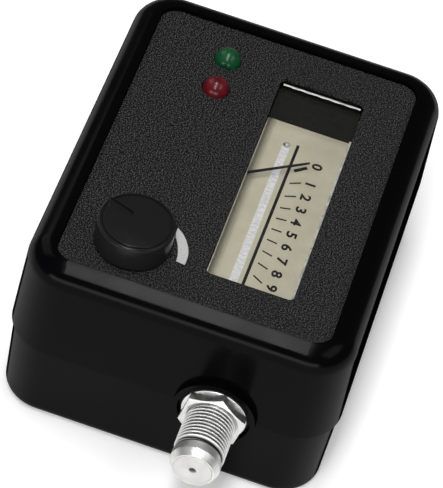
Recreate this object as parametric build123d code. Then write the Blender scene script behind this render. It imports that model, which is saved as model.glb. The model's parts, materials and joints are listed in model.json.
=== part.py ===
from build123d import *
import os
from math import cos, radians, tan

# Satellite signal meter: a two-shell case with a moving-coil meter, a level knob, two lamps and a
# coaxial socket at each end. Millimetres and degrees. The underside lies on Z = 0, X runs along the
# case from socket to socket, Y across it, and Z out of the face.

# Clearances and overruns
overrun = 1.0            # how far a cutting shape runs past the face it cuts
slip = 0.1               # a piece that drops into a pocket, each side
running = 0.05           # a turning shaft in its bearing, each side
air = 0.3                # a moving piece beside a fixed one
part_gap = 1.6           # between neighbours on the circuit board

# Case; its length and width follow from the face, its height from what is stacked in it
case_corner = 9.0
rim_width = 5.8          # from the case's side, at the parting line, to the face
rim_near_width = 4.5     # the same at the +X end
rim_radius = 4.5
rim_limit_share = 0.9
upper_draft = 2.3
lower_draft = 1.5
shell_step = 0.5         # the lower shell stands in from the upper one at the parting line
foot_radius = 2.0
wall = 2.4
top_wall = 1.9
lip_height = 1.5
lip_thickness = 1.0

# Face plate, set down inside the rim; it holds the window and the margins about it
face_corner = 3.5
face_drop = 0.9
face_thickness = 0.6

# Meter window
window_length = 54.25
window_width = 16.65
window_far_margin = 8.7      # to the face's edge at the -X end
window_near_margin = 8.55    # to the face's edge at the +X end
window_side_margin = 8.9     # to the face's edge at the +Y side
control_width = 26.35        # to the face's edge at the -Y side, with the knob and lamps
window_corner = 1.0
window_sink = 1.3
window_edge = 0.2
window_flange = 0.7          # the brim's thickness
window_brim = 1.2            # how far the brim reaches under the case's wall

# Meter housing
dial_thickness = 0.8
housing_wall = 1.2
dial_margin = 3.3        # how far the dial room runs on under the face, past the window's edge
room_inset = 1.2         # how far the dial room's ends stand in from the window's
pit_side_gap = 2.4       # from the iron ring to the pit's walls
pit_back_gap = 1.4
pit_front_gap = 0.8
meter_gap = 1.6          # from the board up to the pit
ear_radius = 2.6
ear_reach = 3.6          # from the housing's side to the centre of the ear's hole
ear_thickness = 1.8
ear_gap = 1.2            # from the ceiling to the top of the ear
meter_screw_radius = 1.0
meter_screw_length = 4.6

# Meter movement
pivot_offset = 0.775     # along X, from the window's middle
pivot_drop = 12.4        # along Y, from the window's edge
needle_rest_angle = 35.9     # from +Y towards -X, near the scale's zero
needle_swing_angle = 71.5    # from the scale's zero to its nine
needle_showing = 15.5        # how far the tip would reach past the window's edge, upright
needle_tail = 6.6
needle_side = 3.6
needle_height = 1.6      # over the dial
needle_lift = 1.8        # over the coil
needle_thickness = 0.3
needle_root_width = 0.9
needle_tip_width = 0.35
hub_radius = 1.3
weight_radius = 0.6
weight_height = 0.7
core_radius = 4.4
core_height = 7.2
yoke_gap = 2.8           # between the core and the iron ring, where the coil swings
yoke_thickness = 1.6
yoke_post_radius = 1.4
clip_width = 2.4
clip_height = 3.0
coil_gap = 0.35
coil_end_gap = 0.5
former_sheet = 0.3
former_width = 3.2
winding_depth = 1.4
winding_width = 2.6
pin_radius = 0.5
pin_cone = 0.6
pin_tip_radius = 0.08
lower_pin_length = 1.5
collet_radius = 0.9
collet_height = 1.4
bridge_gap = 1.1         # from the collet up to the bridge
bridge_thickness = 1.0
bridge_width = 4.0
bridge_leg = 1.2
bridge_screw_radius = 0.6
bridge_screw_length = 3.0
jewel_radius = 1.2
jewel_length = 2.6
jewel_cup = 0.8
jewel_cup_radius = 0.7
jewel_slot_width = 0.4
jewel_slot_depth = 0.5
jewel_gap = 1.8          # from the upper jewel to the ceiling
lower_jewel_rise = 1.0
hairspring_spacing = 0.55
hairspring_half_turns = 8
hairspring_strip = 0.14
hairspring_height = 0.4
lug_size = 0.8
terminal_radius = 0.6
terminal_rise = 1.2
terminal_inset = 3.2
terminal_back = 1.8

# Level knob and its potentiometer
knob_inset_x = 9.6       # from the face's edges to the knob's axis
knob_inset_y = 12.2
knob_radius = 7.15
knob_height = 5.4
knob_edge = 0.5
knob_wall = 1.3
knob_roof = 1.9
knob_hub_wall = 1.6
knob_ring_inset = 0.85   # from the knob's side to the ring groove
knob_ring_width = 0.3
knob_ring_depth = 0.3
knob_ring_bevel = 0.2
pointer_angle = 251.0    # from +X, the knob turned fully down
pointer_width = 1.5
pointer_depth = 0.6
pointer_inner = 2.3
pointer_shift = 0.85     # the groove runs this far beside the axis
shaft_radius = 3.0
shaft_flat = 1.5         # how far the flat lies in from the shaft's side
shaft_flat_length = 7.0
shaft_end_gap = 0.2
guide_wall = 1.9
guide_length = 4.0
pot_size = 11.4
pot_height = 6.8
pot_sheet = 0.5
pot_bushing_wall = 0.85
pot_bushing_length = 4.2
pot_track_thickness = 1.0
pot_track_radius = 4.9
rotor_radius = 4.0
rotor_thickness = 1.3
wiper_thickness = 0.3
wiper_width = 1.6
wiper_length = 3.6
pot_pin_radius = 0.4
pot_pin_spacing = 2.5

# Lamps
lamp_to_pit = 4.25       # along X, from the lamps' spacers to the pit
lamp_inset_y = 15.25     # from the face's edge
lamp_spacing = 8.5
lamp_radius = 2.6
lamp_rise = 2.4          # the dome's top over the face
lamp_length = 9.7
lamp_rim = 0.3
lamp_flange = 1.0
lamp_gap = 0.1
lamp_lead_size = 0.5
lamp_lead_spacing = 2.54
spacer_radius = 2.6
spacer_wall = 0.7

# Coaxial sockets, 3/8-32 thread
socket_offset = 1.075    # along Y, from the window's middle
socket_reach = 14.55     # from the case's end to the socket's tip
thread_radius = 4.7625
ridge_spacing = 0.794
thread_depth = 0.45
thread_crest = 0.2
collar_length = 1.3
collar_radius = 4.65
ridge_count = 11
runout_width = 0.6       # plain groove between the last ridge and the collar
nose_length = 1.35
nose_radius = 3.95
insulator_radius = 3.6
insulator_proud = 0.1
contact_radius = 0.85
contact_bore_radius = 0.55
contact_bore_length = 8.0
contact_mouth_radius = 0.6
contact_setback = 0.9
contact_leg_radius = 0.45
contact_inset = 1.0
socket_flange_radius = 6.3
socket_flange = 1.6
socket_tail = 5.0
socket_tail_radius = 4.7
tail_gap = 1.7           # from the board up to the socket's tail
socket_hole_gap = 0.1375
pad_radius = 7.2
pad_depth = 1.0
guard_radius = 7.8
guard_wall = 0.9
guard_height = 1.0
washer_radius = 6.2
washer_thickness = 0.9
nut_across_flats = 11.11
nut_thickness = 2.0
nut_chamfer = 0.5
nut_angle = 20.0         # a corner's angle from +Y towards +Z

# Screws that join the shells
post_inset = 7.5         # from the case's sides to the screws' axes
post_radius = 3.6
boss_radius = 3.4
case_screw_radius = 1.2
case_screw_head_radius = 2.5
case_screw_head = 1.8
case_screw_seat = 6.0
case_screw_grip = 3.5    # how far the screw reaches into the upper shell
case_screw_gap = 0.2
counterbore_gap = 0.3
pilot_depth = 12.0

# Circuit board
board_end_margin = 5.9   # from the case's sides
board_side_margin = 5.25
board_corner = 1.0
board_thickness = 1.6
board_notch_gap = 0.6
standoff_height = 7.6
standoff_inset = 5.2     # along X, from the board's notch
standoff_edge = 3.5      # along Y, from the board's side
standoff_radius = 2.6
board_screw_radius = 1.0
board_screw_head_radius = 2.0
board_screw_head = 1.3
board_screw_length = 7.0
board_screw_gap = 0.2
pin_through = 1.0        # how far a soldered pin stands out under the board
pin_slip = 0.05
recess_width = 0.6
recess_depth = 0.7

# Pieces on the board
can_length = 28.0
can_edge = 2.5           # from the board's side
can_gap = 3.2            # from the pit
can_height = 5.0
can_sheet = 0.4
can_corner = 1.0
buzzer_gap = 0.8
buzzer_radius = 5.5
buzzer_height = 7.0
buzzer_hole_radius = 1.0
buzzer_roof = 1.2
buzzer_sheet = 1.0
chip_gap = 0.75
chip_length = 8.7
chip_width = 3.9
chip_height = 1.5
chip_leg_count = 7
chip_leg_spacing = 1.27
chip_leg_width = 0.45
chip_leg_reach = 1.0
chip_leg_height = 0.3
capacitor_radius = 2.5
capacitor_height = 6.5
capacitor_bead = 0.3
capacitor_bead_height = 1.2
capacitor_back = 1.1     # along Y, in from the pit's front
resistor_length = 2.0
resistor_width = 1.25
resistor_height = 0.55
resistor_spacing = 3.0
resistor_count = 5
transistor_radius = 2.3
transistor_flat = 1.0
transistor_height = 4.8
transistor_edge = 1.2    # in from the end of the shield
transistor_leg = 1.5
transistor_leg_radius = 0.25
transistor_leg_spacing = 1.27

# Lengths and widths that follow from the sizes above
face_length = window_length + window_far_margin + window_near_margin
face_width = window_width + window_side_margin + control_width
case_length = face_length + rim_width + rim_near_width
case_width = face_width + rim_width * 2
case_end = case_length / 2
lip_root = wall + slip
face_x = (rim_width - rim_near_width) / 2
window_x = face_x + (window_far_margin - window_near_margin) / 2
window_y = (control_width - window_side_margin) / 2
window_x_low = window_x - window_length / 2
window_x_high = window_x + window_length / 2
window_y_low = window_y - window_width / 2
window_y_high = window_y + window_width / 2
room_x_low = window_x_low + room_inset
room_x_high = window_x_high - room_inset
yoke_inner = core_radius + yoke_gap
yoke_outer = yoke_inner + yoke_thickness
pivot_x = window_x + pivot_offset
pivot_y = window_y_low - pivot_drop
needle_reach = pivot_drop + needle_showing
pit_half_length = yoke_outer + pit_side_gap
pit_y_high = pivot_y + yoke_outer + pit_front_gap
pit_y_low = pivot_y - yoke_outer - pit_back_gap
pit_x_low = pivot_x - pit_half_length - housing_wall
pit_x_high = pivot_x + pit_half_length + housing_wall
knob_x = face_x + face_length / 2 - knob_inset_x
knob_y = knob_inset_y - face_width / 2
knob_hub_radius = shaft_radius + knob_hub_wall
knob_ring_radius = knob_radius - knob_ring_inset
shaft_hole_radius = shaft_radius + air
guide_radius = shaft_hole_radius + guide_wall
pot_bushing_radius = shaft_radius + running + pot_bushing_wall
red_lamp_x = pit_x_low - lamp_to_pit - spacer_radius
green_lamp_x = red_lamp_x - lamp_spacing
lamp_y = lamp_inset_y - face_width / 2
lamp_hole_radius = lamp_radius + lamp_gap
lamp_flange_radius = lamp_radius + lamp_rim
spacer_bore = spacer_radius - spacer_wall
socket_y = window_y + socket_offset
socket_tip = case_end + socket_reach
socket_hole_radius = thread_radius + socket_hole_gap
guard_recess_radius = guard_radius - guard_wall
pad_face = case_end - wall - pad_depth
flange_inner = pad_face - socket_flange
tail_inner = flange_inner - socket_tail
washer_outer = case_end + washer_thickness
nut_outer = washer_outer + nut_thickness
post_x = case_end - post_inset
post_y = case_width / 2 - post_inset
case_screw_hole_radius = case_screw_radius + case_screw_gap
counterbore_radius = case_screw_head_radius + counterbore_gap
board_length = case_length - board_end_margin * 2
board_width = case_width - board_side_margin * 2
board_notch_x = post_x - post_radius - board_notch_gap
board_notch_y = post_y - post_radius - board_notch_gap
board_hole_radius = board_screw_radius + board_screw_gap
standoff_x = board_notch_x - standoff_inset
standoff_y = board_width / 2 - standoff_edge
can_y_low = pit_y_high + housing_wall + can_gap
can_width = board_width / 2 - can_edge - can_y_low
can_y = can_y_low + can_width / 2

# Heights, from the floor up
board_height = wall + standoff_height
board_top = board_height + board_thickness
pin_low = board_height - pin_through
parting_height = board_top + tail_gap + socket_tail_radius
pit_base = board_top + meter_gap
pit_floor_height = pit_base + housing_wall
lower_jewel_top = pit_floor_height + lower_jewel_rise
lower_tip = lower_jewel_top - jewel_cup + slip
winding_low = lower_tip + lower_pin_length
former_low = winding_low + winding_depth
core_base = former_low + former_sheet + coil_end_gap
core_top = core_base + core_height
former_high = core_top + coil_end_gap + former_sheet
winding_high = former_high + winding_depth
needle_base = winding_high + needle_lift
needle_top = needle_base + needle_thickness
dial_top = needle_base - needle_height
dial_base = dial_top - dial_thickness
dial_floor_base = dial_base - housing_wall
bridge_height = needle_top + collet_height + bridge_gap
bridge_top = bridge_height + bridge_thickness
jewel_low = bridge_height - jewel_cup
ceiling_height = jewel_low + jewel_length + jewel_gap
seat_height = ceiling_height + top_wall
face_height = seat_height + face_thickness
case_height = face_height + face_drop
window_top = face_height - window_sink
ear_top = ceiling_height - ear_gap
ear_base = ear_top - ear_thickness
lamp_base = face_height + lamp_rise - lamp_length
knob_base = face_height + air
knob_top = knob_base + knob_height
shaft_top = knob_top - knob_roof - shaft_end_gap
case_screw_length = parting_height + case_screw_grip - case_screw_seat
coil_inner = core_radius + coil_gap
coil_angle = needle_swing_angle / 2

LOW = (Align.CENTER, Align.CENTER, Align.MIN)
CORNER = (Align.MIN, Align.MIN, Align.MIN)


def disc(x, y, low, high, radius):
    """Upright cylinder between two heights."""
    return Pos(x, y, low) * Cylinder(radius, high - low, align=LOW)


def tube(x, y, low, high, outer, inner):
    """Upright tube between two heights."""
    return disc(x, y, low, high, outer) - disc(x, y, low - overrun, high + overrun, inner)


def cone(x, y, low, high, low_radius, high_radius):
    """Upright cone between two heights."""
    return Pos(x, y, low) * Cone(low_radius, high_radius, high - low, align=LOW)


def block(x_low, x_high, y_low, y_high, low, high):
    """Box between two corners."""
    size = (x_high - x_low, y_high - y_low, high - low)
    return Pos(x_low, y_low, low) * Box(*size, align=CORNER)


def rod(x_low, x_high, y, z, radius):
    """Level cylinder along X between two places."""
    return Pos(x_low, y, z) * Rotation(0, 90, 0) * Cylinder(radius, x_high - x_low, align=LOW)


def plate(x, y, length, width, corner, low, high, draft=0):
    """Upright plate with rounded corners, narrower towards its top where it has draft."""
    outline = Pos(x, y, low) * RectangleRounded(length, width, corner)
    return extrude(outline, amount=high - low, taper=draft)


def group(solids):
    """Several solids kept apart in one node."""
    return Compound(children=[solid for item in solids for solid in item.solids()])


def corners(x, y):
    """The four places that lie alike about the middle of the case."""
    return [(x, y), (x, -y), (-x, y), (-x, -y)]


def screw(x, y, seat, length, radius, head_radius, head_height, up):
    """Pan-head screw with a cross recess; its shank runs up or down from the seat."""
    shank = disc(0, 0, 0, length, radius)
    head = disc(0, 0, -head_height, 0, head_radius)
    head = fillet(head.faces().sort_by(Axis.Z)[0].edges(), head_height / 2)
    reach = head_radius * 2 / 3
    depth = recess_depth - head_height
    cross = block(-reach, reach, -recess_width / 2, recess_width / 2, -head_height - overrun, depth)
    cross += block(-recess_width / 2, recess_width / 2, -reach, reach, -head_height - overrun, depth)
    whole = shank + head - cross
    if not up:
        whole = Rotation(180, 0, 0) * whole
    return Pos(x, y, seat) * whole


def at_both_ends(solid):
    """A solid at the +X end and its mirror image at the other end."""
    return [solid, solid.mirror(Plane.YZ)]


def socket_housing_shapes():
    """What each shell adds for a socket: an inner pad and an outer guard ring, whole circles."""
    pad = rod(pad_face, case_end - wall / 2, socket_y, parting_height, pad_radius)
    guard = rod(case_end - wall / 2, case_end + guard_height, socket_y, parting_height, guard_radius)
    return at_both_ends(pad + guard)


def socket_cuts():
    """What each shell loses for a socket: the barrel's hole and the recess for the washer."""
    hole = rod(pad_face - overrun, case_end + overrun, socket_y, parting_height, socket_hole_radius)
    recess_end = case_end + guard_height + overrun
    recess = rod(case_end, recess_end, socket_y, parting_height, guard_recess_radius)
    return at_both_ends(hole + recess)


def half_space(low, high):
    """A slab as wide as the case and its guards, to keep one shell's side of the parting line."""
    reach_x = case_end + guard_height + overrun
    reach_y = case_width / 2 + overrun
    return block(-reach_x, reach_x, -reach_y, reach_y, low, high)


def front_cover():
    """Upper shell with the rounded rim and the openings of the face."""
    draft_shift = case_height - parting_height
    outer = plate(0, 0, case_length, case_width, case_corner, parting_height, case_height, upper_draft)
    rim_limit = case_corner - draft_shift * tan(radians(upper_draft))
    outer = fillet(outer.faces().sort_by(Axis.Z)[-1].edges(), min(rim_radius, rim_limit * rim_limit_share))
    inner_length = case_length - wall * 2
    inner_width = case_width - wall * 2
    inner_corner = case_corner - wall
    cavity = plate(0, 0, inner_length, inner_width, inner_corner, parting_height, ceiling_height, upper_draft)
    shell = outer - cavity
    for x, y in corners(post_x, post_y):
        boss = disc(x, y, parting_height, ceiling_height, boss_radius)
        shell += boss & outer
    shell += disc(knob_x, knob_y, ceiling_height - guide_length, ceiling_height, guide_radius)
    for x in meter_ears():
        shell += disc(x, window_y, ear_top, ceiling_height, ear_radius)
    for ring in socket_housing_shapes():
        shell += ring & half_space(parting_height, case_height)
    shell -= plate(face_x, 0, face_length, face_width, face_corner, seat_height, case_height + overrun)
    shell -= plate(window_x, window_y, window_length, window_width, window_corner,
                   ceiling_height - overrun, case_height)
    shell -= window_brim_shape(slip, ceiling_height - overrun)
    shell -= disc(knob_x, knob_y, ceiling_height - guide_length - overrun, case_height, shaft_hole_radius)
    for x in (green_lamp_x, red_lamp_x):
        shell -= disc(x, lamp_y, ceiling_height - overrun, case_height, lamp_hole_radius)
    for x, y in corners(post_x, post_y):
        shell -= disc(x, y, parting_height - overrun, parting_height + pilot_depth, case_screw_radius)
    for x in meter_ears():
        shell -= disc(x, window_y, ear_top - overrun, ear_base + meter_screw_length, meter_screw_radius)
    for cut in socket_cuts():
        shell -= cut
    return shell


def rear_cover():
    """Lower shell with the screw posts, the board's standoffs and the lip that enters the upper shell."""
    length = case_length - shell_step * 2
    width = case_width - shell_step * 2
    corner = case_corner - shell_step
    upright = plate(0, 0, length, width, corner, 0, parting_height, lower_draft)
    outer = Pos(0, 0, parting_height) * Rotation(180, 0, 0) * upright
    outer = fillet(outer.faces().sort_by(Axis.Z)[0].edges(), foot_radius)
    cavity_depth = parting_height - wall
    upright = plate(0, 0, length - wall * 2, width - wall * 2, corner - wall, 0, cavity_depth, lower_draft)
    shell = outer - Pos(0, 0, parting_height) * Rotation(180, 0, 0) * upright
    shell += shell_lip()
    for x, y in corners(post_x, post_y):
        shell += disc(x, y, 0, parting_height, post_radius) & outer
    for x, y in corners(standoff_x, standoff_y):
        shell += disc(x, y, wall / 2, board_height, standoff_radius)
    for ring in socket_housing_shapes():
        shell += ring & half_space(0, parting_height)
    for x, y in corners(post_x, post_y):
        shell -= disc(x, y, -overrun, case_screw_seat, counterbore_radius)
        shell -= disc(x, y, 0, parting_height + overrun, case_screw_hole_radius)
    for x, y in corners(standoff_x, standoff_y):
        shell -= disc(x, y, board_top - board_screw_length, board_height + overrun, board_screw_radius)
    for cut in socket_cuts():
        shell -= cut
    return shell


def shell_lip():
    """Ring that stands up inside the upper shell, cut away at the bosses and the sockets."""
    low = parting_height - lip_height
    high = parting_height + lip_height
    length = case_length - lip_root * 2
    width = case_width - lip_root * 2
    corner = case_corner - lip_root
    lean = lip_height * tan(radians(upper_draft))
    outer_ring = plate(0, 0, length - lean * 2, width - lean * 2, corner - lean, low, high)
    inner_ring = plate(0, 0, length - lip_thickness * 2, width - lip_thickness * 2,
                       corner - lip_thickness, low - overrun, high + overrun)
    lip = outer_ring - inner_ring
    for x, y in corners(post_x, post_y):
        lip -= disc(x, y, parting_height, high + overrun, boss_radius + air)
    return lip - rod(-case_end, case_end, socket_y, parting_height, pad_radius + air)


def face_plate():
    """Matte plate that carries the markings, with holes for the window, the lamps and the shaft."""
    length = face_length - slip * 2
    width = face_width - slip * 2
    sheet = plate(face_x, 0, length, width, face_corner - slip, seat_height, face_height)
    low = seat_height - overrun
    high = face_height + overrun
    sheet -= plate(window_x, window_y, window_length, window_width, window_corner, low, high)
    sheet -= disc(knob_x, knob_y, low, high, shaft_hole_radius)
    for x in (green_lamp_x, red_lamp_x):
        sheet -= disc(x, lamp_y, low, high, lamp_hole_radius)
    return sheet


def meter_ears():
    """X of the two ears that hold the meter to the ceiling."""
    return [room_x_low - housing_wall - ear_reach, room_x_high + housing_wall + ear_reach]


def meter_housing():
    """Black tray: a shallow room for the dial and a deep pit for the movement, open at the top."""
    room_y_low = window_y_low - dial_margin
    grow = housing_wall
    body = block(room_x_low - grow, room_x_high + grow, room_y_low - grow, window_y_high + grow,
                 dial_floor_base, ceiling_height)
    body += block(pit_x_low, pit_x_high,
                  pit_y_low - grow, pit_y_high + grow, pit_base, ceiling_height)
    for x in meter_ears():
        side = room_x_low if x < window_x else room_x_high
        body += disc(x, window_y, ear_base, ear_top, ear_radius)
        body += block(min(x, side), max(x, side), window_y - ear_radius, window_y + ear_radius,
                      ear_base, ear_top)
    body -= block(room_x_low, room_x_high, room_y_low, window_y_high, dial_base, ceiling_height + overrun)
    body -= block(pivot_x - pit_half_length, pivot_x + pit_half_length, pit_y_low, pit_y_high,
                  pit_floor_height, ceiling_height + overrun)
    for x, y in yoke_posts():
        body += disc(x, y, pit_floor_height, core_base, yoke_post_radius)
    body -= disc(pivot_x, pivot_y, pit_base - overrun, pit_floor_height + overrun, jewel_radius)
    for x in meter_ears():
        body -= disc(x, window_y, ear_base - overrun, ear_top + overrun, meter_screw_radius)
    for x, y in terminal_places():
        body -= disc(x, y, pit_base - overrun, pit_floor_height + overrun, terminal_radius)
    return body


def yoke_posts():
    """Four posts on the pit's floor that carry the iron ring."""
    step = yoke_outer * cos(radians(45))
    return [(pivot_x + x, pivot_y + y) for x, y in corners(step, step)]


def terminal_places():
    """The two pins that lead out of the pit to the board."""
    reach = pit_half_length - terminal_inset
    y = pit_y_low + terminal_back
    return [(pivot_x - reach, y), (pivot_x + reach, y)]


def window_brim_shape(gap, low):
    """The brim of the window, or with a gap the rebate for it."""
    reach = (window_brim + gap) * 2
    return plate(window_x, window_y, window_length + reach, window_width + reach,
                 window_corner + window_brim + gap, low, ceiling_height + window_flange + gap)


def meter_window():
    """Clear sheet in the case's opening, with a thin brim in a rebate under the case's wall."""
    length = window_length - slip * 2
    width = window_width - slip * 2
    sheet = plate(window_x, window_y, length, width, window_corner - slip, ceiling_height, window_top)
    sheet = fillet(sheet.faces().sort_by(Axis.Z)[-1].edges(), window_edge)
    return sheet + window_brim_shape(0, ceiling_height)


def dial_plate():
    """Pale plate under the needle, on the floor of the dial room."""
    y_low = pit_y_high + slip
    return block(room_x_low + slip, room_x_high - slip, y_low, window_y_high - slip, dial_base, dial_top)


def swing(solid, turn):
    """Places a piece of the moving system, made about the origin, at the pivot."""
    return Pos(pivot_x, pivot_y, 0) * Rotation(0, 0, turn) * solid


def needle():
    """Flat pointer with its hub, tail and two side arms."""
    half_root = needle_root_width / 2
    half_tip = needle_tip_width / 2
    blade = Polygon((-half_root, 0), (half_root, 0), (half_tip, needle_reach), (-half_tip, needle_reach),
                    align=None)
    arms = Rectangle(needle_side * 2, needle_root_width)
    tail = Pos(0, -needle_tail / 2) * Rectangle(needle_root_width, needle_tail)
    outline = blade + arms + tail + Circle(hub_radius) - Circle(pin_radius)
    return swing(extrude(Pos(0, 0, needle_base) * outline, amount=needle_thickness), needle_rest_angle)


def balance_weights():
    """Three small weights on the pointer's tail and side arms."""
    places = [(0, -needle_tail + weight_radius), (needle_side - weight_radius, 0),
              (-needle_side + weight_radius, 0)]
    high = needle_top + weight_height
    return group([swing(disc(x, y, needle_top, high, weight_radius), needle_rest_angle) for x, y in places])


def pivot_pins():
    """Upper and lower pivot pins, each with a fine cone; the upper one has the spring's collet."""
    upper_tip = bridge_height - slip
    upper = disc(0, 0, winding_high, upper_tip - pin_cone, pin_radius)
    upper += cone(0, 0, upper_tip - pin_cone, upper_tip, pin_radius, pin_tip_radius)
    collet_low = needle_top
    upper += disc(0, 0, collet_low, collet_low + collet_height, collet_radius)
    lower = disc(0, 0, lower_tip + pin_cone, winding_low, pin_radius)
    lower += cone(0, 0, lower_tip, lower_tip + pin_cone, pin_tip_radius, pin_radius)
    return group([swing(upper, 0), swing(lower, 0)])


def upright_loop(inner, outer, low_in, low_out, high_in, high_out, width):
    """Rectangular loop that stands about the core, its sides on the Y axis."""
    frame = block(-width / 2, width / 2, -outer, outer, low_out, high_out)
    return frame - block(-width, width, -inner, inner, low_in, high_in)


def coil_former():
    """Thin metal frame that the coil is wound on."""
    outer = coil_inner + former_sheet
    loop = upright_loop(coil_inner, outer, former_low + former_sheet, former_low,
                        former_high - former_sheet, former_high, former_width)
    return swing(loop, coil_angle)


def coil_winding():
    """Copper coil about the former."""
    inner = coil_inner + former_sheet
    loop = upright_loop(inner, inner + winding_depth, former_low, winding_low,
                        former_high, winding_high, winding_width)
    return swing(loop, coil_angle)


def core_magnet():
    """Round magnet inside the coil."""
    return disc(pivot_x, pivot_y, core_base, core_top, core_radius)


def yoke_ring():
    """Soft-iron ring about the coil, on the housing's posts, tapped for the bridge's screws."""
    ring = tube(pivot_x, pivot_y, core_base, core_top, yoke_outer, yoke_inner)
    for x in bridge_sides():
        low = core_top + bridge_thickness - bridge_screw_length
        ring -= disc(x, pivot_y, low, core_top + overrun, bridge_screw_radius)
    return ring


def core_clips():
    """Two brass blocks that hold the core in the middle of the ring, clear of the coil's swing."""
    middle = (core_base + core_top) / 2
    low = middle - clip_height / 2
    high = middle + clip_height / 2
    space = tube(pivot_x, pivot_y, low, high, yoke_inner, core_radius)
    bar = block(pivot_x - yoke_inner, pivot_x + yoke_inner, pivot_y - clip_width / 2,
                pivot_y + clip_width / 2, low, high)
    return group([space & bar])


def bridge_sides():
    """X of the two screws that hold the bridge to the iron ring."""
    middle = (yoke_inner + yoke_outer) / 2
    return [pivot_x - middle, pivot_x + middle]


def top_bridge():
    """Brass strap over the movement that carries the upper jewel and the spring's lug."""
    half_width = bridge_width / 2
    leg_in = yoke_inner + slip
    leg_out = leg_in + bridge_leg
    strap = block(-leg_out, leg_out, -half_width, half_width, bridge_height, bridge_top)
    for side in (-1, 1):
        leg_ends = sorted((side * leg_in, side * leg_out))
        strap += block(*leg_ends, half_width, half_width + bridge_leg, core_top, bridge_top)
        strap += block(*leg_ends, -half_width - bridge_leg, -half_width, core_top, bridge_top)
        strap += block(*leg_ends, -half_width - bridge_leg, half_width + bridge_leg, bridge_height,
                       bridge_top)
        strap += block(*leg_ends, -half_width - bridge_leg, half_width + bridge_leg, core_top,
                       core_top + bridge_thickness)
    spring_end = hairspring_radius(hairspring_half_turns - 1) + hairspring_centre(hairspring_half_turns - 1)
    lug_low = needle_top + collet_height - hairspring_height
    lug_in = spring_end + hairspring_strip / 2
    strap += block(lug_in, lug_in + lug_size, -lug_size / 2, lug_size / 2, lug_low, bridge_height)
    strap = Pos(pivot_x, pivot_y, 0) * strap
    strap -= disc(pivot_x, pivot_y, bridge_height - overrun, bridge_top + overrun, jewel_radius)
    for x in bridge_sides():
        strap -= disc(x, pivot_y, core_top - overrun, core_top + bridge_thickness + overrun,
                      bridge_screw_radius)
    return strap


def bridge_screws():
    """Two small screws through the bridge's feet into the iron ring."""
    seat = core_top + bridge_thickness
    head_radius = bridge_screw_radius * 5 / 3
    head = bridge_screw_radius
    screws = []
    for x in bridge_sides():
        shank = disc(x, pivot_y, seat - bridge_screw_length, seat, bridge_screw_radius)
        slot = block(x - head_radius, x + head_radius, pivot_y - jewel_slot_width / 2,
                     pivot_y + jewel_slot_width / 2, seat + head / 2, seat + head + overrun)
        screws.append(shank + disc(x, pivot_y, seat, seat + head, head_radius) - slot)
    return group(screws)


def jewel_screws():
    """Two slotted screws whose cups carry the pivot pins, one in the bridge and one in the pit's floor."""
    upper = disc(0, 0, jewel_low, jewel_low + jewel_length, jewel_radius)
    upper -= cone(0, 0, jewel_low, jewel_low + jewel_cup, jewel_cup_radius, pin_tip_radius)
    slot_reach = jewel_radius + overrun
    slot_low = jewel_low + jewel_length - jewel_slot_depth
    upper -= block(-slot_reach, slot_reach, -jewel_slot_width / 2, jewel_slot_width / 2, slot_low,
                   slot_low + jewel_slot_depth + overrun)
    lower = disc(0, 0, pit_base, lower_jewel_top, jewel_radius)
    lower -= cone(0, 0, lower_jewel_top - jewel_cup, lower_jewel_top, pin_tip_radius, jewel_cup_radius)
    lower -= block(-slot_reach, slot_reach, -jewel_slot_width / 2, jewel_slot_width / 2,
                   pit_base - overrun, pit_base + jewel_slot_depth)
    return group([swing(upper, 0), swing(lower, 0)])


def hairspring_radius(half_turn):
    """Radius of one half turn of the hairspring's middle line."""
    return collet_radius + hairspring_strip / 2 + hairspring_spacing / 2 * half_turn


def hairspring_centre(half_turn):
    """Where one half turn has its centre: the two kinds lie half a pitch apart."""
    return hairspring_spacing / 2 * (half_turn % 2)


def hairspring():
    """Flat spiral from the collet out to the bridge's lug, in half turns."""
    arcs = Sketch()
    for half_turn in range(hairspring_half_turns):
        radius = hairspring_radius(half_turn)
        centre = hairspring_centre(half_turn)
        ring = Circle(radius + hairspring_strip / 2) - Circle(radius - hairspring_strip / 2)
        reach = radius + overrun
        side = 1 if half_turn % 2 == 0 else -1
        keep = Pos(0, side * reach / 2) * Rectangle(reach * 2, reach)
        arcs += Pos(centre, 0) * (ring & keep)
    low = needle_top + collet_height - hairspring_height
    return swing(extrude(Pos(0, 0, low) * arcs, amount=hairspring_height), 0)


def meter_terminals():
    """Two pins from the pit's floor down through the board."""
    high = pit_floor_height + terminal_rise
    return group([disc(x, y, pin_low, high, terminal_radius) for x, y in terminal_places()])


def meter_screws():
    """Two screws through the housing's ears into the upper shell."""
    radius = meter_screw_radius
    return group([screw(x, window_y, ear_base, meter_screw_length, radius, radius * 2, radius, True)
                  for x in meter_ears()])


def shaft_outline(radius, flat):
    """Round shaft with one flat."""
    reach = radius * 2
    return Circle(radius) - Pos(0, radius - flat + reach / 2) * Rectangle(reach, reach)


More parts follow.
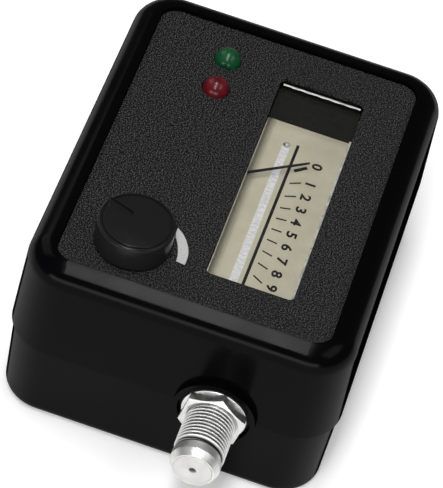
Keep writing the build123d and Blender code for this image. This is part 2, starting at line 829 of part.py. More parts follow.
def knob():
    """Hollow round knob with a hub, a ring groove near its edge and a pointer groove."""
    body = disc(0, 0, knob_base, knob_top, knob_radius)
    body = fillet(body.faces().sort_by(Axis.Z)[-1].edges(), knob_edge)
    roof = knob_top - knob_roof
    body -= disc(0, 0, knob_base - overrun, roof, knob_radius - knob_wall)
    body += disc(0, 0, knob_base, roof, knob_hub_radius)
    flat_low = shaft_top - shaft_flat_length
    bore = extrude(Pos(0, 0, knob_base - overrun) * shaft_outline(shaft_radius, shaft_flat),
                   amount=roof - knob_base + overrun)
    if flat_low > knob_base:
        bore += disc(0, 0, knob_base - overrun, flat_low, shaft_radius)
    body -= bore
    ring_low = knob_top - knob_ring_depth
    ring_high = knob_top + knob_ring_depth
    ring = disc(0, 0, ring_low, ring_high, knob_ring_radius + knob_ring_width)
    ring -= cone(0, 0, ring_low, ring_high, knob_ring_radius, knob_ring_radius - knob_ring_bevel * 2)
    groove = block(pointer_inner, knob_radius + overrun, -pointer_width / 2, pointer_width / 2,
                   knob_top - pointer_depth, knob_top + overrun)
    groove += disc(pointer_inner, 0, knob_top - pointer_depth, knob_top + overrun, pointer_width / 2)
    return at_knob(body - ring - Pos(0, -pointer_shift, 0) * groove)


def at_knob(solid):
    """Places a piece made about the origin, with its pointer along +X, on the knob's axis."""
    return Pos(knob_x, knob_y, 0) * Rotation(0, 0, pointer_angle) * solid


def pot_shaft():
    """Plastic shaft with its flat at the top and the rotor disc at the bottom."""
    rotor_low = board_top + pot_track_thickness + running + wiper_thickness
    rotor_high = rotor_low + rotor_thickness
    flat_low = shaft_top - shaft_flat_length
    shaft = disc(0, 0, rotor_low, rotor_high, rotor_radius)
    shaft += disc(0, 0, rotor_low, flat_low, shaft_radius)
    flatted = Pos(0, 0, flat_low) * shaft_outline(shaft_radius, shaft_flat)
    shaft += extrude(flatted, amount=shaft_top - flat_low)
    return at_knob(shaft)


def pot_wiper():
    """Sprung brass contact under the rotor."""
    low = board_top + pot_track_thickness + running
    return at_knob(block(0, wiper_length, -wiper_width / 2, wiper_width / 2, low, low + wiper_thickness))


def pot_track():
    """Round resistance track on the board."""
    return disc(knob_x, knob_y, board_top, board_top + pot_track_thickness, pot_track_radius)


def pot_shell():
    """Folded metal can of the potentiometer, open below."""
    half = pot_size / 2
    top = board_top + pot_height
    can = block(knob_x - half, knob_x + half, knob_y - half, knob_y + half, board_top, top)
    inside = half - pot_sheet
    can -= block(knob_x - inside, knob_x + inside, knob_y - inside, knob_y + inside,
                 board_top - overrun, top - pot_sheet)
    return can - disc(knob_x, knob_y, board_top, top + overrun, shaft_hole_radius)


def pot_bushing():
    """Metal bearing that the shaft turns in, on top of the can."""
    low = board_top + pot_height
    return tube(knob_x, knob_y, low, low + pot_bushing_length, pot_bushing_radius, shaft_radius + running)


def pot_pins():
    """Three pins from the track down through the board."""
    y = pot_pin_y()
    return group([disc(x, y, pin_low, board_top, pot_pin_radius) for x in pot_pin_places()])


def pot_pin_places():
    """X of the potentiometer's three pins."""
    return [knob_x + pot_pin_spacing * step for step in (-1, 0, 1)]


def pot_pin_y():
    """The pins lie in a row near the edge of the track."""
    return knob_y - pot_track_radius / 2


def lamp(x):
    """Round coloured lamp with a dome and a flange."""
    centre = face_height + lamp_rise - lamp_radius
    lens = disc(x, lamp_y, lamp_base, centre, lamp_radius)
    lens += Pos(x, lamp_y, centre) * Sphere(lamp_radius)
    return lens + disc(x, lamp_y, lamp_base, lamp_base + lamp_flange, lamp_flange_radius)


def green_lamp():
    """Lamp nearest the far end."""
    return lamp(green_lamp_x)


def red_lamp():
    """Lamp beside the green one."""
    return lamp(red_lamp_x)


def lead_places():
    """Where the lamps' four leads go down."""
    half = lamp_lead_spacing / 2
    return [(x + side * half, lamp_y) for x in (green_lamp_x, red_lamp_x) for side in (-1, 1)]


def lamp_leads():
    """Four square leads from the lamps down through the board."""
    half = lamp_lead_size / 2
    return group([block(x - half, x + half, y - half, y + half, pin_low, lamp_base)
                  for x, y in lead_places()])


def lamp_spacers():
    """Two tubes that stand on the board and carry the lamps' flanges."""
    return group([tube(x, lamp_y, board_top, lamp_base, spacer_radius, spacer_bore)
                  for x in (green_lamp_x, red_lamp_x)])


def barrel_outline():
    """Half section of the barrel: tail, flange, plain neck, ridges, groove, collar and nose."""
    ridge_high = socket_tip - nose_length - collar_length
    flank = (ridge_spacing - thread_crest) / 2
    ridge_low = ridge_high - runout_width - flank - ridge_spacing * (ridge_count - 1)
    root = thread_radius - thread_depth
    points = [(tail_inner, 0), (tail_inner, socket_tail_radius), (flange_inner, socket_tail_radius),
              (flange_inner, socket_flange_radius), (pad_face, socket_flange_radius),
              (pad_face, thread_radius), (ridge_low, thread_radius)]
    for ridge in range(ridge_count - 1):
        x = ridge_low + ridge_spacing * ridge
        points += [(x + flank, root), (x + flank * 2, thread_radius), (x + ridge_spacing, thread_radius)]
    points += [(ridge_high - runout_width, root), (ridge_high, root), (ridge_high, collar_radius)]
    points += [(socket_tip - nose_length, collar_radius), (socket_tip, nose_radius), (socket_tip, 0)]
    return points


def socket_body():
    """Plated barrel with its flange inside the case, bored for the insulator."""
    turned = revolve(Polygon(*barrel_outline(), align=None), Axis.X)
    turned = Pos(0, socket_y, parting_height) * turned
    return turned - rod(tail_inner - overrun, socket_tip + overrun, socket_y, parting_height,
                        insulator_radius)


def socket_insulator():
    """White plug that fills the barrel and carries the contact."""
    high = socket_tip + insulator_proud
    plug = rod(tail_inner, high, socket_y, parting_height, insulator_radius)
    plug -= rod(tail_inner - overrun, socket_tip - contact_setback, socket_y, parting_height, contact_radius)
    return plug - rod(tail_inner, high + overrun, socket_y, parting_height, contact_mouth_radius)


def contact_leg_x():
    """Where the contact turns down to the board."""
    return tail_inner - contact_inset - contact_radius


def socket_contact():
    """Bored spring contact with a leg that goes down through the board."""
    mouth = socket_tip - contact_setback
    pin = rod(contact_leg_x() - contact_radius, mouth, socket_y, parting_height, contact_radius)
    pin -= rod(mouth - contact_bore_length, mouth + overrun, socket_y, parting_height, contact_bore_radius)
    return pin + disc(contact_leg_x(), socket_y, pin_low, parting_height, contact_leg_radius)


def socket_washer():
    """Round washer on the case's end."""
    ring = rod(case_end, washer_outer, socket_y, parting_height, washer_radius)
    return ring - rod(case_end - overrun, washer_outer + overrun, socket_y, parting_height, thread_radius)


def socket_nut():
    """Thin hexagon nut with its corners bevelled outside."""
    corner = nut_across_flats / 2 / cos(radians(30))
    outline = RegularPolygon(corner, 6, rotation=90 + nut_angle)
    prism = extrude(outline, amount=nut_thickness)
    bevel_low = nut_thickness - nut_chamfer
    bevel = disc(0, 0, -overrun, bevel_low, corner + overrun)
    bevel += cone(0, 0, bevel_low, nut_thickness, corner, nut_across_flats / 2 - nut_chamfer / 2)
    prism = prism & bevel
    laid = Pos(washer_outer, socket_y, parting_height) * Rotation(0, 90, 0) * prism
    return laid - rod(case_end, nut_outer + overrun, socket_y, parting_height, thread_radius)


def case_screws():
    """Four screws from the underside into the upper shell."""
    return group([screw(x, y, case_screw_seat, case_screw_length, case_screw_radius,
                        case_screw_head_radius, case_screw_head, True) for x, y in corners(post_x, post_y)])


def board_screws():
    """Four screws that hold the board to its standoffs."""
    return group([screw(x, y, board_top, board_screw_length, board_screw_radius,
                        board_screw_head_radius, board_screw_head, False)
                  for x, y in corners(standoff_x, standoff_y)])


def circuit_board():
    """Board with notches for the case's posts and holes for screws, pins and leads."""
    board = plate(0, 0, board_length, board_width, board_corner, board_height, board_top)
    low = board_height - overrun
    high = board_top + overrun
    for side_x in (-1, 1):
        for side_y in (-1, 1):
            x_ends = sorted((side_x * board_notch_x, side_x * board_length))
            y_ends = sorted((side_y * board_notch_y, side_y * board_width))
            board -= block(*x_ends, *y_ends, low, high)
    for x, y in corners(standoff_x, standoff_y):
        board -= disc(x, y, low, high, board_hole_radius)
    for x, y in terminal_places():
        board -= disc(x, y, low, high, terminal_radius + pin_slip)
    for x in pot_pin_places():
        board -= disc(x, pot_pin_y(), low, high, pot_pin_radius + pin_slip)
    for x, y in lead_places():
        board -= disc(x, y, low, high, lamp_lead_size)
    for x in (contact_leg_x(), -contact_leg_x()):
        board -= disc(x, socket_y, low, high, contact_leg_radius + pin_slip)
    return board


def shield_can():
    """Tinned lid over the receiving stage."""
    top = board_top + can_height
    can = plate(0, can_y, can_length, can_width, can_corner, board_top, top)
    return can - plate(0, can_y, can_length - can_sheet * 2, can_width - can_sheet * 2,
                       can_corner - can_sheet, board_top - overrun, top - can_sheet)


def buzzer():
    """Round sounder with a hole in its roof, between the green lamp and a capacitor."""
    x = capacitor_places()[0][0] - capacitor_radius - part_gap - buzzer_radius
    y = lamp_y + spacer_radius + buzzer_gap + buzzer_radius
    top = board_top + buzzer_height
    body = disc(x, y, board_top, top, buzzer_radius)
    body -= disc(x, y, board_top + buzzer_roof, top - buzzer_roof, buzzer_radius - buzzer_sheet)
    return body - disc(x, y, top - buzzer_roof - overrun, top + overrun, buzzer_hole_radius)


def chip(x, y):
    """Flat chip with a row of legs on each long side."""
    half_length = chip_length / 2
    half_width = chip_width / 2
    body = block(x - half_length, x + half_length, y - half_width, y + half_width,
                 board_top + chip_leg_height, board_top + chip_height)
    first = x - chip_leg_spacing * (chip_leg_count - 1) / 2
    reach = half_width + chip_leg_reach
    for leg in range(chip_leg_count):
        middle = first + chip_leg_spacing * leg
        body += block(middle - chip_leg_width / 2, middle + chip_leg_width / 2, y - reach, y + reach,
                      board_top, board_top + chip_leg_height)
    return body


def chips():
    """Three chips: one beside the red lamp and two under the shield."""
    reach = chip_gap + chip_length / 2
    beside_lamp = lamp_y - spacer_radius - chip_gap - chip_width / 2 - chip_leg_reach
    places = [(pit_x_low - reach, beside_lamp), (-reach, can_y), (reach, can_y)]
    return group([chip(x, y) for x, y in places])


def capacitor_places():
    """One on each side of the pit and one beside the shield."""
    reach = part_gap + capacitor_radius
    y = pit_y_high - capacitor_back
    return [(pit_x_low - reach, y), (pit_x_high + reach, y), (-can_length / 2 - reach, can_y)]


def capacitors():
    """Three upright round capacitors with a beaded waist."""
    cans = []
    for x, y in capacitor_places():
        bead = board_top + capacitor_bead_height
        can = disc(x, y, board_top, board_top + capacitor_height, capacitor_radius)
        can -= tube(x, y, bead, bead + capacitor_bead * 2, capacitor_radius + overrun,
                    capacitor_radius - capacitor_bead)
        cans.append(can)
    return group(cans)


def resistors():
    """A row of small flat resistors along the end of the shield."""
    x = can_length / 2 + part_gap
    half_width = resistor_width / 2
    first = can_y - resistor_spacing * (resistor_count - 1) / 2
    row = [first + resistor_spacing * step for step in range(resistor_count)]
    return group([block(x, x + resistor_length, y - half_width, y + half_width, board_top,
                        board_top + resistor_height) for y in row])


def transistors():
    """Upright transistors with one flat side, each on three legs, beside the shield."""
    x = -can_length / 2 - part_gap - transistor_radius
    places = [can_y + can_width / 2 - transistor_radius - transistor_edge,
              can_y - capacitor_radius - part_gap - transistor_radius]
    low = board_top + transistor_leg
    top = low + transistor_height
    pieces = []
    for y in places:
        body = disc(x, y, low, top, transistor_radius)
        flat = y - transistor_radius + transistor_flat
        body -= block(x - transistor_radius, x + transistor_radius, y - transistor_radius, flat,
                      board_top, top + overrun)
        for step in (-1, 0, 1):
            body += disc(x + transistor_leg_spacing * step, y, board_top, low, transistor_leg_radius)
        pieces.append(body)
    return group(pieces)


def socket_nodes():
    """The five pieces of a socket, once at each end of the case."""
    makers = {"socket_body": socket_body, "socket_nut": socket_nut, "socket_washer": socket_washer,
              "socket_insulator": socket_insulator, "socket_contact": socket_contact}
    nodes = {}
    for name, make in makers.items():
        front, rear = at_both_ends(make())
        nodes["front_" + name] = front
        nodes["rear_" + name] = rear
    return nodes


def all_nodes():
    """Every node's name with its solids."""
    makers = [front_cover, rear_cover, face_plate, meter_housing, meter_window, dial_plate, needle,
              balance_weights, pivot_pins, coil_former, coil_winding, core_magnet, core_clips, yoke_ring,
              top_bridge, bridge_screws, jewel_screws, hairspring, meter_terminals, meter_screws, knob,
              pot_shaft, pot_wiper, pot_track, pot_shell, pot_bushing, pot_pins, green_lamp, red_lamp,
              lamp_leads, lamp_spacers, circuit_board, shield_can, buzzer, chips, capacitors, resistors,
              transistors, case_screws, board_screws]
    nodes = {make.__name__: make() for make in makers}
    nodes.update(socket_nodes())
    return nodes


os.makedirs("parts", exist_ok=True)
for node_name, node_shape in all_nodes().items():
    export_step(node_shape, f"parts/{node_name}.step")
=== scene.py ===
"""Satellite signal meter: finishes, printed marks, a turned knob, sockets, screws and a plain studio.

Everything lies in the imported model's own frame: the underside on Z = 0, X from socket to socket, Y across
the case and Z out of the face. The tables are in millimetres, the scene is in metres.
"""

import json
from math import cos, pi, radians, sin

import bmesh
import bpy
from bpy.props import FloatProperty, FloatVectorProperty, IntProperty, PointerProperty
from mathutils import Matrix, Vector

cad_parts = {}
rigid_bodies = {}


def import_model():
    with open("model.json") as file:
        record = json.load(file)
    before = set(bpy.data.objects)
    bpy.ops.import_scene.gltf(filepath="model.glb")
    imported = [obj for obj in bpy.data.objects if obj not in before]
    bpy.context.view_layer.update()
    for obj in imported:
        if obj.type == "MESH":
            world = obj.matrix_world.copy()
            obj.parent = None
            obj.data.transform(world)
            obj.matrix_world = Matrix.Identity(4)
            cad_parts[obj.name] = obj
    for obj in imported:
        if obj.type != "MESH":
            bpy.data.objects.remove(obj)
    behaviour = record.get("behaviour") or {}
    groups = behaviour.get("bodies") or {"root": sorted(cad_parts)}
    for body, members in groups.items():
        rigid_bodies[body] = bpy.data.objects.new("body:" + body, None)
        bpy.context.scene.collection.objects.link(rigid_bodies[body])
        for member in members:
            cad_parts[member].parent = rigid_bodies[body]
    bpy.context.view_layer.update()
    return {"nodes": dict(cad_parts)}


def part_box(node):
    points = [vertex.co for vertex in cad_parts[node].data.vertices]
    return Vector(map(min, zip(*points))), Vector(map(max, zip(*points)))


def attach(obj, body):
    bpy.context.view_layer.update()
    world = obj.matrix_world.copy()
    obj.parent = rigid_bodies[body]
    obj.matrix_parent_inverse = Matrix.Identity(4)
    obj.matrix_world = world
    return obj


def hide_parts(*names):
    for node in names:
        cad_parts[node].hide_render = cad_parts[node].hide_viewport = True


bl_info = {
    "name": "Satellite signal meter",
    "version": (1, 0, 0),
    "blender": (4, 5, 0),
    "location": "3D View > Sidebar > Signal meter",
    "description": "Finishes and fine pieces of a small satellite signal meter",
    "category": "Object",
}

for leftover in list(bpy.data.objects):
    bpy.data.objects.remove(leftover)
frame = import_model()
nodes = frame["nodes"]

MM = 0.001
INK_THICKNESS = 0.02                     # mm, screen-printed ink
INK_SINK = 0.004                         # mm, how deep the underside of a print lies in its surface
FACE_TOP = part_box("face_plate")[1].z / MM
DIAL_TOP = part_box("dial_plate")[1].z / MM


# -------------------- sizes and colours a user may change

def linear(code):
    """Turns an sRGB hex colour into linear RGBA."""
    parts = [int(code[i:i + 2], 16) / 255 for i in (0, 2, 4)]
    return [v / 12.92 if v <= 0.04045 else ((v + 0.055) / 1.055) ** 2.4 for v in parts] + [1.0]


def colour_choice(name, description, code):
    """A colour property in linear RGBA."""
    return FloatVectorProperty(name=name, description=description, subtype="COLOR", size=4,
                               min=0.0, max=1.0, default=linear(code))


def length_choice(name, description, millimetres):
    """A length property, kept in metres."""
    return FloatProperty(name=name, description=description, subtype="DISTANCE", unit="LENGTH",
                         min=0.0, precision=5, default=millimetres * MM)


def power_choice(name, description, watts):
    """A lamp's power."""
    return FloatProperty(name=name, description=description + ", in watts", unit="POWER", min=0.0,
                         default=watts)


class MeterCaseSettings(bpy.types.PropertyGroup):
    case_colour: colour_choice("Case colour", "Glossy shells", "040405")
    panel_colour: colour_choice("Panel colour", "Darker grains of the matte face panel", "050505")
    speckle_colour: colour_choice("Speckle colour", "Lighter grains of the face panel", "4e4e4e")
    knob_colour: colour_choice("Knob colour", "Satin level knob", "191919")
    grain_size: length_choice("Grain size", "Size of the face panel's moulded grain", 0.25)


class MeterDialSettings(bpy.types.PropertyGroup):
    dial_colour: colour_choice("Dial colour", "Painted dial", "d0cbb3")
    ink_colour: colour_choice("Ink colour", "Scale and numbers", "0b0a0a")
    stripe_colour: colour_choice("Stripe colour", "Band under the scale", "f4f3f1")
    tick_width: length_choice("Tick width", "Width of a scale mark", 0.34)
    number_size: length_choice("Number size", "Size of the dial's numbers", 2.75)
    mark_colour: colour_choice("Level mark colour", "Curved mark round the knob", "b9b9b8")


class MeterSocketSettings(bpy.types.PropertyGroup):
    crest_radius: length_choice("Crest radius", "Radius over the thread's crests", 4.7625)
    thread_depth: length_choice("Thread depth", "From crest to root", 0.45)
    pitch: length_choice("Pitch", "Distance between two turns of the thread", 0.794)
    crest_width: length_choice("Crest width", "Flat on top of each turn", 0.16)
    steps: IntProperty(name="Steps", description="Segments in one turn", default=72, min=12, max=256)
    nickel_colour: colour_choice("Nickel colour", "Plated brass", "e0e0df")


class MeterStageSettings(bpy.types.PropertyGroup):
    floor_colour: colour_choice("Floor colour", "Plain pale floor", "e6e6e6")
    front_power: power_choice("Front power", "Softbox over the near end", 9.6)
    side_power: power_choice("Side power", "Softbox beyond the window's side", 2.0)
    panel_power: power_choice("Panel power", "Wide dim panel on the knob's side", 2.2)
    low_power: power_choice("Low power", "Narrow softbox low beyond the near end", 2.8)
    fill_strength: FloatProperty(name="Fill strength", description="Strength of the plain surroundings",
                                 default=0.12, min=0.0)


# -------------------- helpers

def add(tree, kind, inputs=None, **settings):
    """Adds a node with its settings, and links or fills its inputs by name or number."""
    node = tree.nodes.new(kind)
    for name, value in settings.items():
        setattr(node, name, value)
    for name, value in (inputs or {}).items():
        socket = node.inputs[name]
        if isinstance(value, bpy.types.NodeSocket):
            tree.links.new(value, socket)
        else:
            socket.default_value = value
    return node


def maths(tree, operation, one, other, **settings):
    """The result of an operation on two values or sockets."""
    return add(tree, "ShaderNodeMath", {0: one, 1: other}, operation=operation, **settings).outputs[0]


def start(name, colour, roughness, **shader_values):
    """Starts a material and gives its tree, its shader and its object coordinates."""
    material = bpy.data.materials.new(name)
    material.use_nodes = True
    tree = material.node_tree
    shader = tree.nodes["Principled BSDF"]
    shader.inputs["Base Color"].default_value = linear(colour) if isinstance(colour, str) else colour
    shader.inputs["Roughness"].default_value = roughness
    for label, value in shader_values.items():
        shader.inputs[label.replace("_", " ")].default_value = value
    place = add(tree, "ShaderNodeTexCoord").outputs["Object"]
    return material, tree, shader, place


def noise(tree, place, millimetres, detail=3.0, stretch=None):
    """Noise whose features are about as large as said; stretch divides the size along each axis."""
    if stretch:
        place = add(tree, "ShaderNodeMapping", {"Vector": place, "Scale": stretch}).outputs["Vector"]
    return add(tree, "ShaderNodeTexNoise", {"Vector": place, "Scale": 1 / (millimetres * MM),
                                            "Detail": detail, "Roughness": 0.55}).outputs["Fac"]


def spread(tree, value, low, high, to_low=0.0, to_high=1.0):
    """Maps a value's middle range to another one."""
    return add(tree, "ShaderNodeMapRange", {"Value": value, "From Min": low, "From Max": high,
                                            "To Min": to_low, "To Max": to_high}).outputs["Result"]


def tint(tree, shader, value, one, other):
    """Mixes two colours into the shader's base colour."""
    colours = {6: linear(one) if isinstance(one, str) else one,
               7: linear(other) if isinstance(other, str) else other}
    mix = add(tree, "ShaderNodeMix", {0: value, **colours}, data_type="RGBA")
    tree.links.new(mix.outputs[2], shader.inputs["Base Color"])


def relief(tree, shader, value, millimetres):
    """Raises the surface by a small depth."""
    bump = add(tree, "ShaderNodeBump", {"Height": value, "Distance": millimetres * MM, "Strength": 1.0})
    tree.links.new(bump.outputs["Normal"], shader.inputs["Normal"])


def shine(tree, shader, value, low, high):
    """Varies the roughness between two values."""
    tree.links.new(spread(tree, value, 0.3, 0.7, low, high), shader.inputs["Roughness"])


def dress(material, *names):
    """Gives carried-over nodes their finish."""
    for name in names:
        mesh = nodes[name].data
        mesh.materials.clear()
        mesh.materials.append(material)


def raw_mesh(name, points, faces):
    """A mesh from points in millimetres."""
    mesh = bpy.data.meshes.new(name)
    mesh.from_pydata([Vector(point) * MM for point in points], [], faces)
    return mesh


def solid(name, points, faces, material, smooth_angle=30):
    """Makes a piece from points in millimetres."""
    return settle(name, raw_mesh(name, points, faces), material, smooth_angle)


def settle(name, mesh, material, smooth_angle=30):
    """Cleans a mesh, points its faces outwards and links it as an object."""
    work = bmesh.new()
    work.from_mesh(mesh)
    bmesh.ops.remove_doubles(work, verts=work.verts, dist=1e-7)
    bmesh.ops.recalc_face_normals(work, faces=work.faces)
    work.to_mesh(mesh)
    work.free()
    mesh.shade_smooth()
    mesh.set_sharp_from_angle(angle=radians(smooth_angle))
    if material:
        mesh.materials.clear()
        mesh.materials.append(material)
    piece = bpy.data.objects.new(name, mesh)
    bpy.context.scene.collection.objects.link(piece)
    return piece


def prism(outline, low, high):
    """Points and faces of an upright prism over a closed outline."""
    count = len(outline)
    points = [(x, y, low) for x, y in outline] + [(x, y, high) for x, y in outline]
    faces = [tuple(reversed(range(count))), tuple(range(count, count * 2))]
    faces += [(i, (i + 1) % count, (i + 1) % count + count, i + count) for i in range(count)]
    return points, faces


def together(shapes):
    """Joins several lists of points and faces."""
    points, faces = [], []
    for some_points, some_faces in shapes:
        base = len(points)
        points += some_points
        faces += [tuple(i + base for i in face) for face in some_faces]
    return points, faces


def turned(outline, steps):
    """Points and faces of a closed outline (along, radius) turned round the X axis."""
    points, faces = [], []
    count = len(outline)
    for step in range(steps):
        angle = 2 * pi * step / steps
        points += [(x, r * cos(angle), r * sin(angle)) for x, r in outline]
    for step in range(steps):
        here, there = step * count, (step + 1) % steps * count
        faces += [(here + i, here + (i + 1) % count, there + (i + 1) % count, there + i)
                  for i in range(count)]
    return points, faces


def stacked(loops):
    """Points and faces of a solid whose closed loops lie one above the other."""
    count = len(loops[0])
    points = [tuple(point) for loop in loops for point in loop]
    faces = [tuple(reversed(range(count))), tuple(range(count * (len(loops) - 1), count * len(loops)))]
    for level in range(len(loops) - 1):
        low = level * count
        faces += [(low + i, low + (i + 1) % count, low + (i + 1) % count + count, low + i + count)
                  for i in range(count)]
    return points, faces


def upright(shape, x=0.0, y=0.0, turn=0.0):
    """Stands a shape that was turned about X on the Z axis, turns it, and sets it over a place."""
    points, faces = shape
    move = Matrix.Translation((x, y, 0)) @ Matrix.Rotation(turn, 4, "Z")
    return [tuple(move @ Vector((-pz, py, px))) for px, py, pz in points], faces


def worked_out(holder):
    """The plain mesh of an object after its modifiers."""
    bpy.context.view_layer.update()
    return bpy.data.meshes.new_from_object(holder.evaluated_get(bpy.context.evaluated_depsgraph_get()))


def carved(name, body, cutters, material=None, smooth_angle=30):
    """Cuts other pieces out of one and settles what is left."""
    for cutter in cutters:
        cut = body.modifiers.new("cut", "BOOLEAN")
        cut.operation, cut.object, cut.solver = "DIFFERENCE", cutter, "EXACT"
    mesh = worked_out(body)
    body.modifiers.clear()
    for used in [body] + cutters:
        bpy.data.objects.remove(used)
    return settle(name, mesh, material, smooth_angle)


def ride_on(piece, body, slot, *replaced):
    """Ties a finished piece to its body and hides the nodes it stands for; the slot is not used."""
    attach(piece, body)
    if replaced:
        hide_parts(*replaced)


def grown(name, mesh, tree, values):
    """Runs a geometry-nodes tree on a mesh and gives the plain mesh that comes out."""
    carrier = bpy.data.objects.new(name + "_carrier", mesh)
    bpy.context.scene.collection.objects.link(carrier)
    modifier = carrier.modifiers.new("grow", "NODES")
    modifier.node_group = tree
    for item in tree.interface.items_tree:
        if item.item_type == "SOCKET" and item.in_out == "INPUT" and item.name in values:
            modifier[item.identifier] = values[item.name]
    result = worked_out(carrier)
    carrier.modifiers.clear()
    bpy.data.objects.remove(carrier)
    result.name = name
    return result


def new_tree(name, **inputs):
    """Starts a geometry-nodes tree with named inputs, given by their kind."""
    tree = bpy.data.node_groups.new(name, "GeometryNodeTree")
    tree.interface.new_socket("Geometry", in_out="INPUT", socket_type="NodeSocketGeometry")
    for kind, labels in inputs.items():
        for label in labels:
            tree.interface.new_socket(label, in_out="INPUT", socket_type="NodeSocket" + kind)
    tree.interface.new_socket("Geometry", in_out="OUTPUT", socket_type="NodeSocketGeometry")
    return tree, add(tree, "NodeGroupInput").outputs


def end_tree(tree, geometry, material):
    """Ends a tree in real geometry with its material."""
    real = add(tree, "GeometryNodeRealizeInstances", {"Geometry": geometry})
    finished = add(tree, "GeometryNodeSetMaterial", {"Geometry": real.outputs[0], "Material": material})
    add(tree, "NodeGroupOutput", {"Geometry": finished.outputs[0]})


# -------------------- finishes

def glossy_case_plastic(settings):
    """ABS from a polished mould: deep black, a soft gloss with the faint waves of a large moulding."""
    material, tree, shader, place = start("abs_polished_black", settings.case_colour, 0.18,
                                          Specular_IOR_Level=0.05)
    clouds = noise(tree, place, 9.0, 2.0)
    shine(tree, shader, clouds, 0.13, 0.22)
    relief(tree, shader, noise(tree, place, 2.2, 2.0), 0.003)
    # The gloss fades out where the skin is seen edge-on: this paints shade over the reflection of the pale
    # floor there.
    edge_on = add(tree, "ShaderNodeLayerWeight", {"Blend": 0.5}).outputs["Facing"]
    tree.links.new(spread(tree, edge_on, 0.5, 0.82, 0.05, 0.0), shader.inputs["Specular IOR Level"])
    return material


def panel_plastic(settings):
    """ABS panel with a spark-eroded grain: matte, with fine lighter grains."""
    material, tree, shader, place = start("abs_eroded_panel", settings.panel_colour, 0.6,
                                          Specular_IOR_Level=0.09)
    size = settings.grain_size / MM
    grain = noise(tree, place, size, 1.0)
    tint(tree, shader, spread(tree, grain, 0.48, 0.68), settings.panel_colour, settings.speckle_colour)
    shine(tree, shader, grain, 0.5, 0.75)
    relief(tree, shader, grain, 0.07)
    return material


def knob_plastic(settings):
    """Satin ABS: a fine moulded texture that spreads the highlights."""
    material, tree, shader, place = start("abs_satin_black", settings.knob_colour, 0.23,
                                          Specular_IOR_Level=0.12)
    shine(tree, shader, noise(tree, place, 3.0), 0.18, 0.28)
    relief(tree, shader, noise(tree, place, 0.25), 0.006)
    return material


def meter_plastic():
    """Black polystyrene of the meter's housing, lightly polished inside."""
    material, tree, shader, place = start("polystyrene_black", "050505", 0.3, Specular_IOR_Level=0.08)
    shine(tree, shader, noise(tree, place, 4.0), 0.24, 0.38)
    relief(tree, shader, noise(tree, place, 0.9), 0.004)
    return material


def clear_plastic():
    """Clear cast acrylic: light passes it on its way to the dial, and it keeps a sharp gloss."""
    material, tree, shader, place = start("acrylic_clear", "ffffff", 0.03, Transmission_Weight=1.0, IOR=1.49)
    shine(tree, shader, noise(tree, place, 7.0), 0.01, 0.04)
    ray = add(tree, "ShaderNodeLightPath")
    open_ray = maths(tree, "MAXIMUM", ray.outputs["Is Shadow Ray"], ray.outputs["Is Diffuse Ray"])
    clear = add(tree, "ShaderNodeBsdfTransparent", {"Color": linear("f4f4f4")}).outputs[0]
    mix = add(tree, "ShaderNodeMixShader", {0: open_ray, 1: shader.outputs[0], 2: clear})
    tree.links.new(mix.outputs[0], tree.nodes["Material Output"].inputs["Surface"])
    return material


def painted_dial(settings):
    """Silk-matt enamel on sheet metal, a warm grey with a faint cloudiness from age."""
    material, tree, shader, place = start("enamel_warm_grey", settings.dial_colour, 0.55,
                                          Specular_IOR_Level=0.2)
    tint(tree, shader, spread(tree, noise(tree, place, 5.0), 0.35, 0.65), settings.dial_colour, "c6c0a8")
    relief(tree, shader, noise(tree, place, 0.12), 0.004)
    return material


def ink(name, colour, other):
    """Screen-printed ink: flat, slightly uneven, with pinholes too small to see singly."""
    material, tree, shader, place = start(name, colour, 0.6, Specular_IOR_Level=0.1)
    tint(tree, shader, spread(tree, noise(tree, place, 0.22), 0.42, 0.62), colour, other)
    relief(tree, shader, noise(tree, place, 0.1), 0.003)
    return material


def plain_metal(name, colour, other, roughness, size=1.5, stretch=None, depth=0.003):
    """A bare or plated metal with drawing or tumbling marks and a little tarnish."""
    material, tree, shader, place = start(name, colour, roughness, Metallic=1.0)
    marks = noise(tree, place, size, 4.0, stretch)
    tint(tree, shader, spread(tree, noise(tree, place, 2.4), 0.35, 0.65), colour, other)
    shine(tree, shader, marks, roughness * 0.75, roughness * 1.35)
    relief(tree, shader, marks, depth)
    return material


def plain_plastic(name, colour, other, roughness, size=0.8, depth=0.004):
    """A moulded or laminated plastic with a fine texture."""
    material, tree, shader, place = start(name, colour, roughness)
    tint(tree, shader, spread(tree, noise(tree, place, size * 3), 0.35, 0.65), colour, other)
    shine(tree, shader, noise(tree, place, size * 4), roughness * 0.8, roughness * 1.2)
    relief(tree, shader, noise(tree, place, size), depth)
    return material


def lamp_epoxy(name, colour, other):
    """Dyed cast epoxy: deep colour under a glossy skin."""
    material, tree, shader, place = start(name, colour, 0.24, Specular_IOR_Level=0.3)
    tint(tree, shader, spread(tree, noise(tree, place, 1.6), 0.35, 0.65), colour, other)
    return material


def grimy_roots(material, axis, inner, outer, end):
    """Paints shade on a turned barrel near its axis, in the thread's roots, up to a length along X."""
    tree = material.node_tree
    shader = tree.nodes["Principled BSDF"]
    metal = shader.inputs["Base Color"].links[0].from_socket
    place = add(tree, "ShaderNodeTexCoord").outputs["Object"]
    away = add(tree, "ShaderNodeVectorMath", {0: place, 1: axis}, operation="SUBTRACT").outputs[0]
    lengths = []
    for mask in ((0, 1, 1), (1, 0, 0)):
        part = add(tree, "ShaderNodeVectorMath", {0: away, 1: mask}, operation="MULTIPLY").outputs[0]
        lengths.append(add(tree, "ShaderNodeVectorMath", {0: part}, operation="LENGTH").outputs["Value"])
    radius, along = lengths
    bright = maths(tree, "MAXIMUM", spread(tree, radius, inner, outer),
                   spread(tree, along, end, end + 0.05 * MM))
    # The dark colour is painted shade in the roots of the thread.
    tint(tree, shader, bright, "35332f", metal)


# -------------------- operators

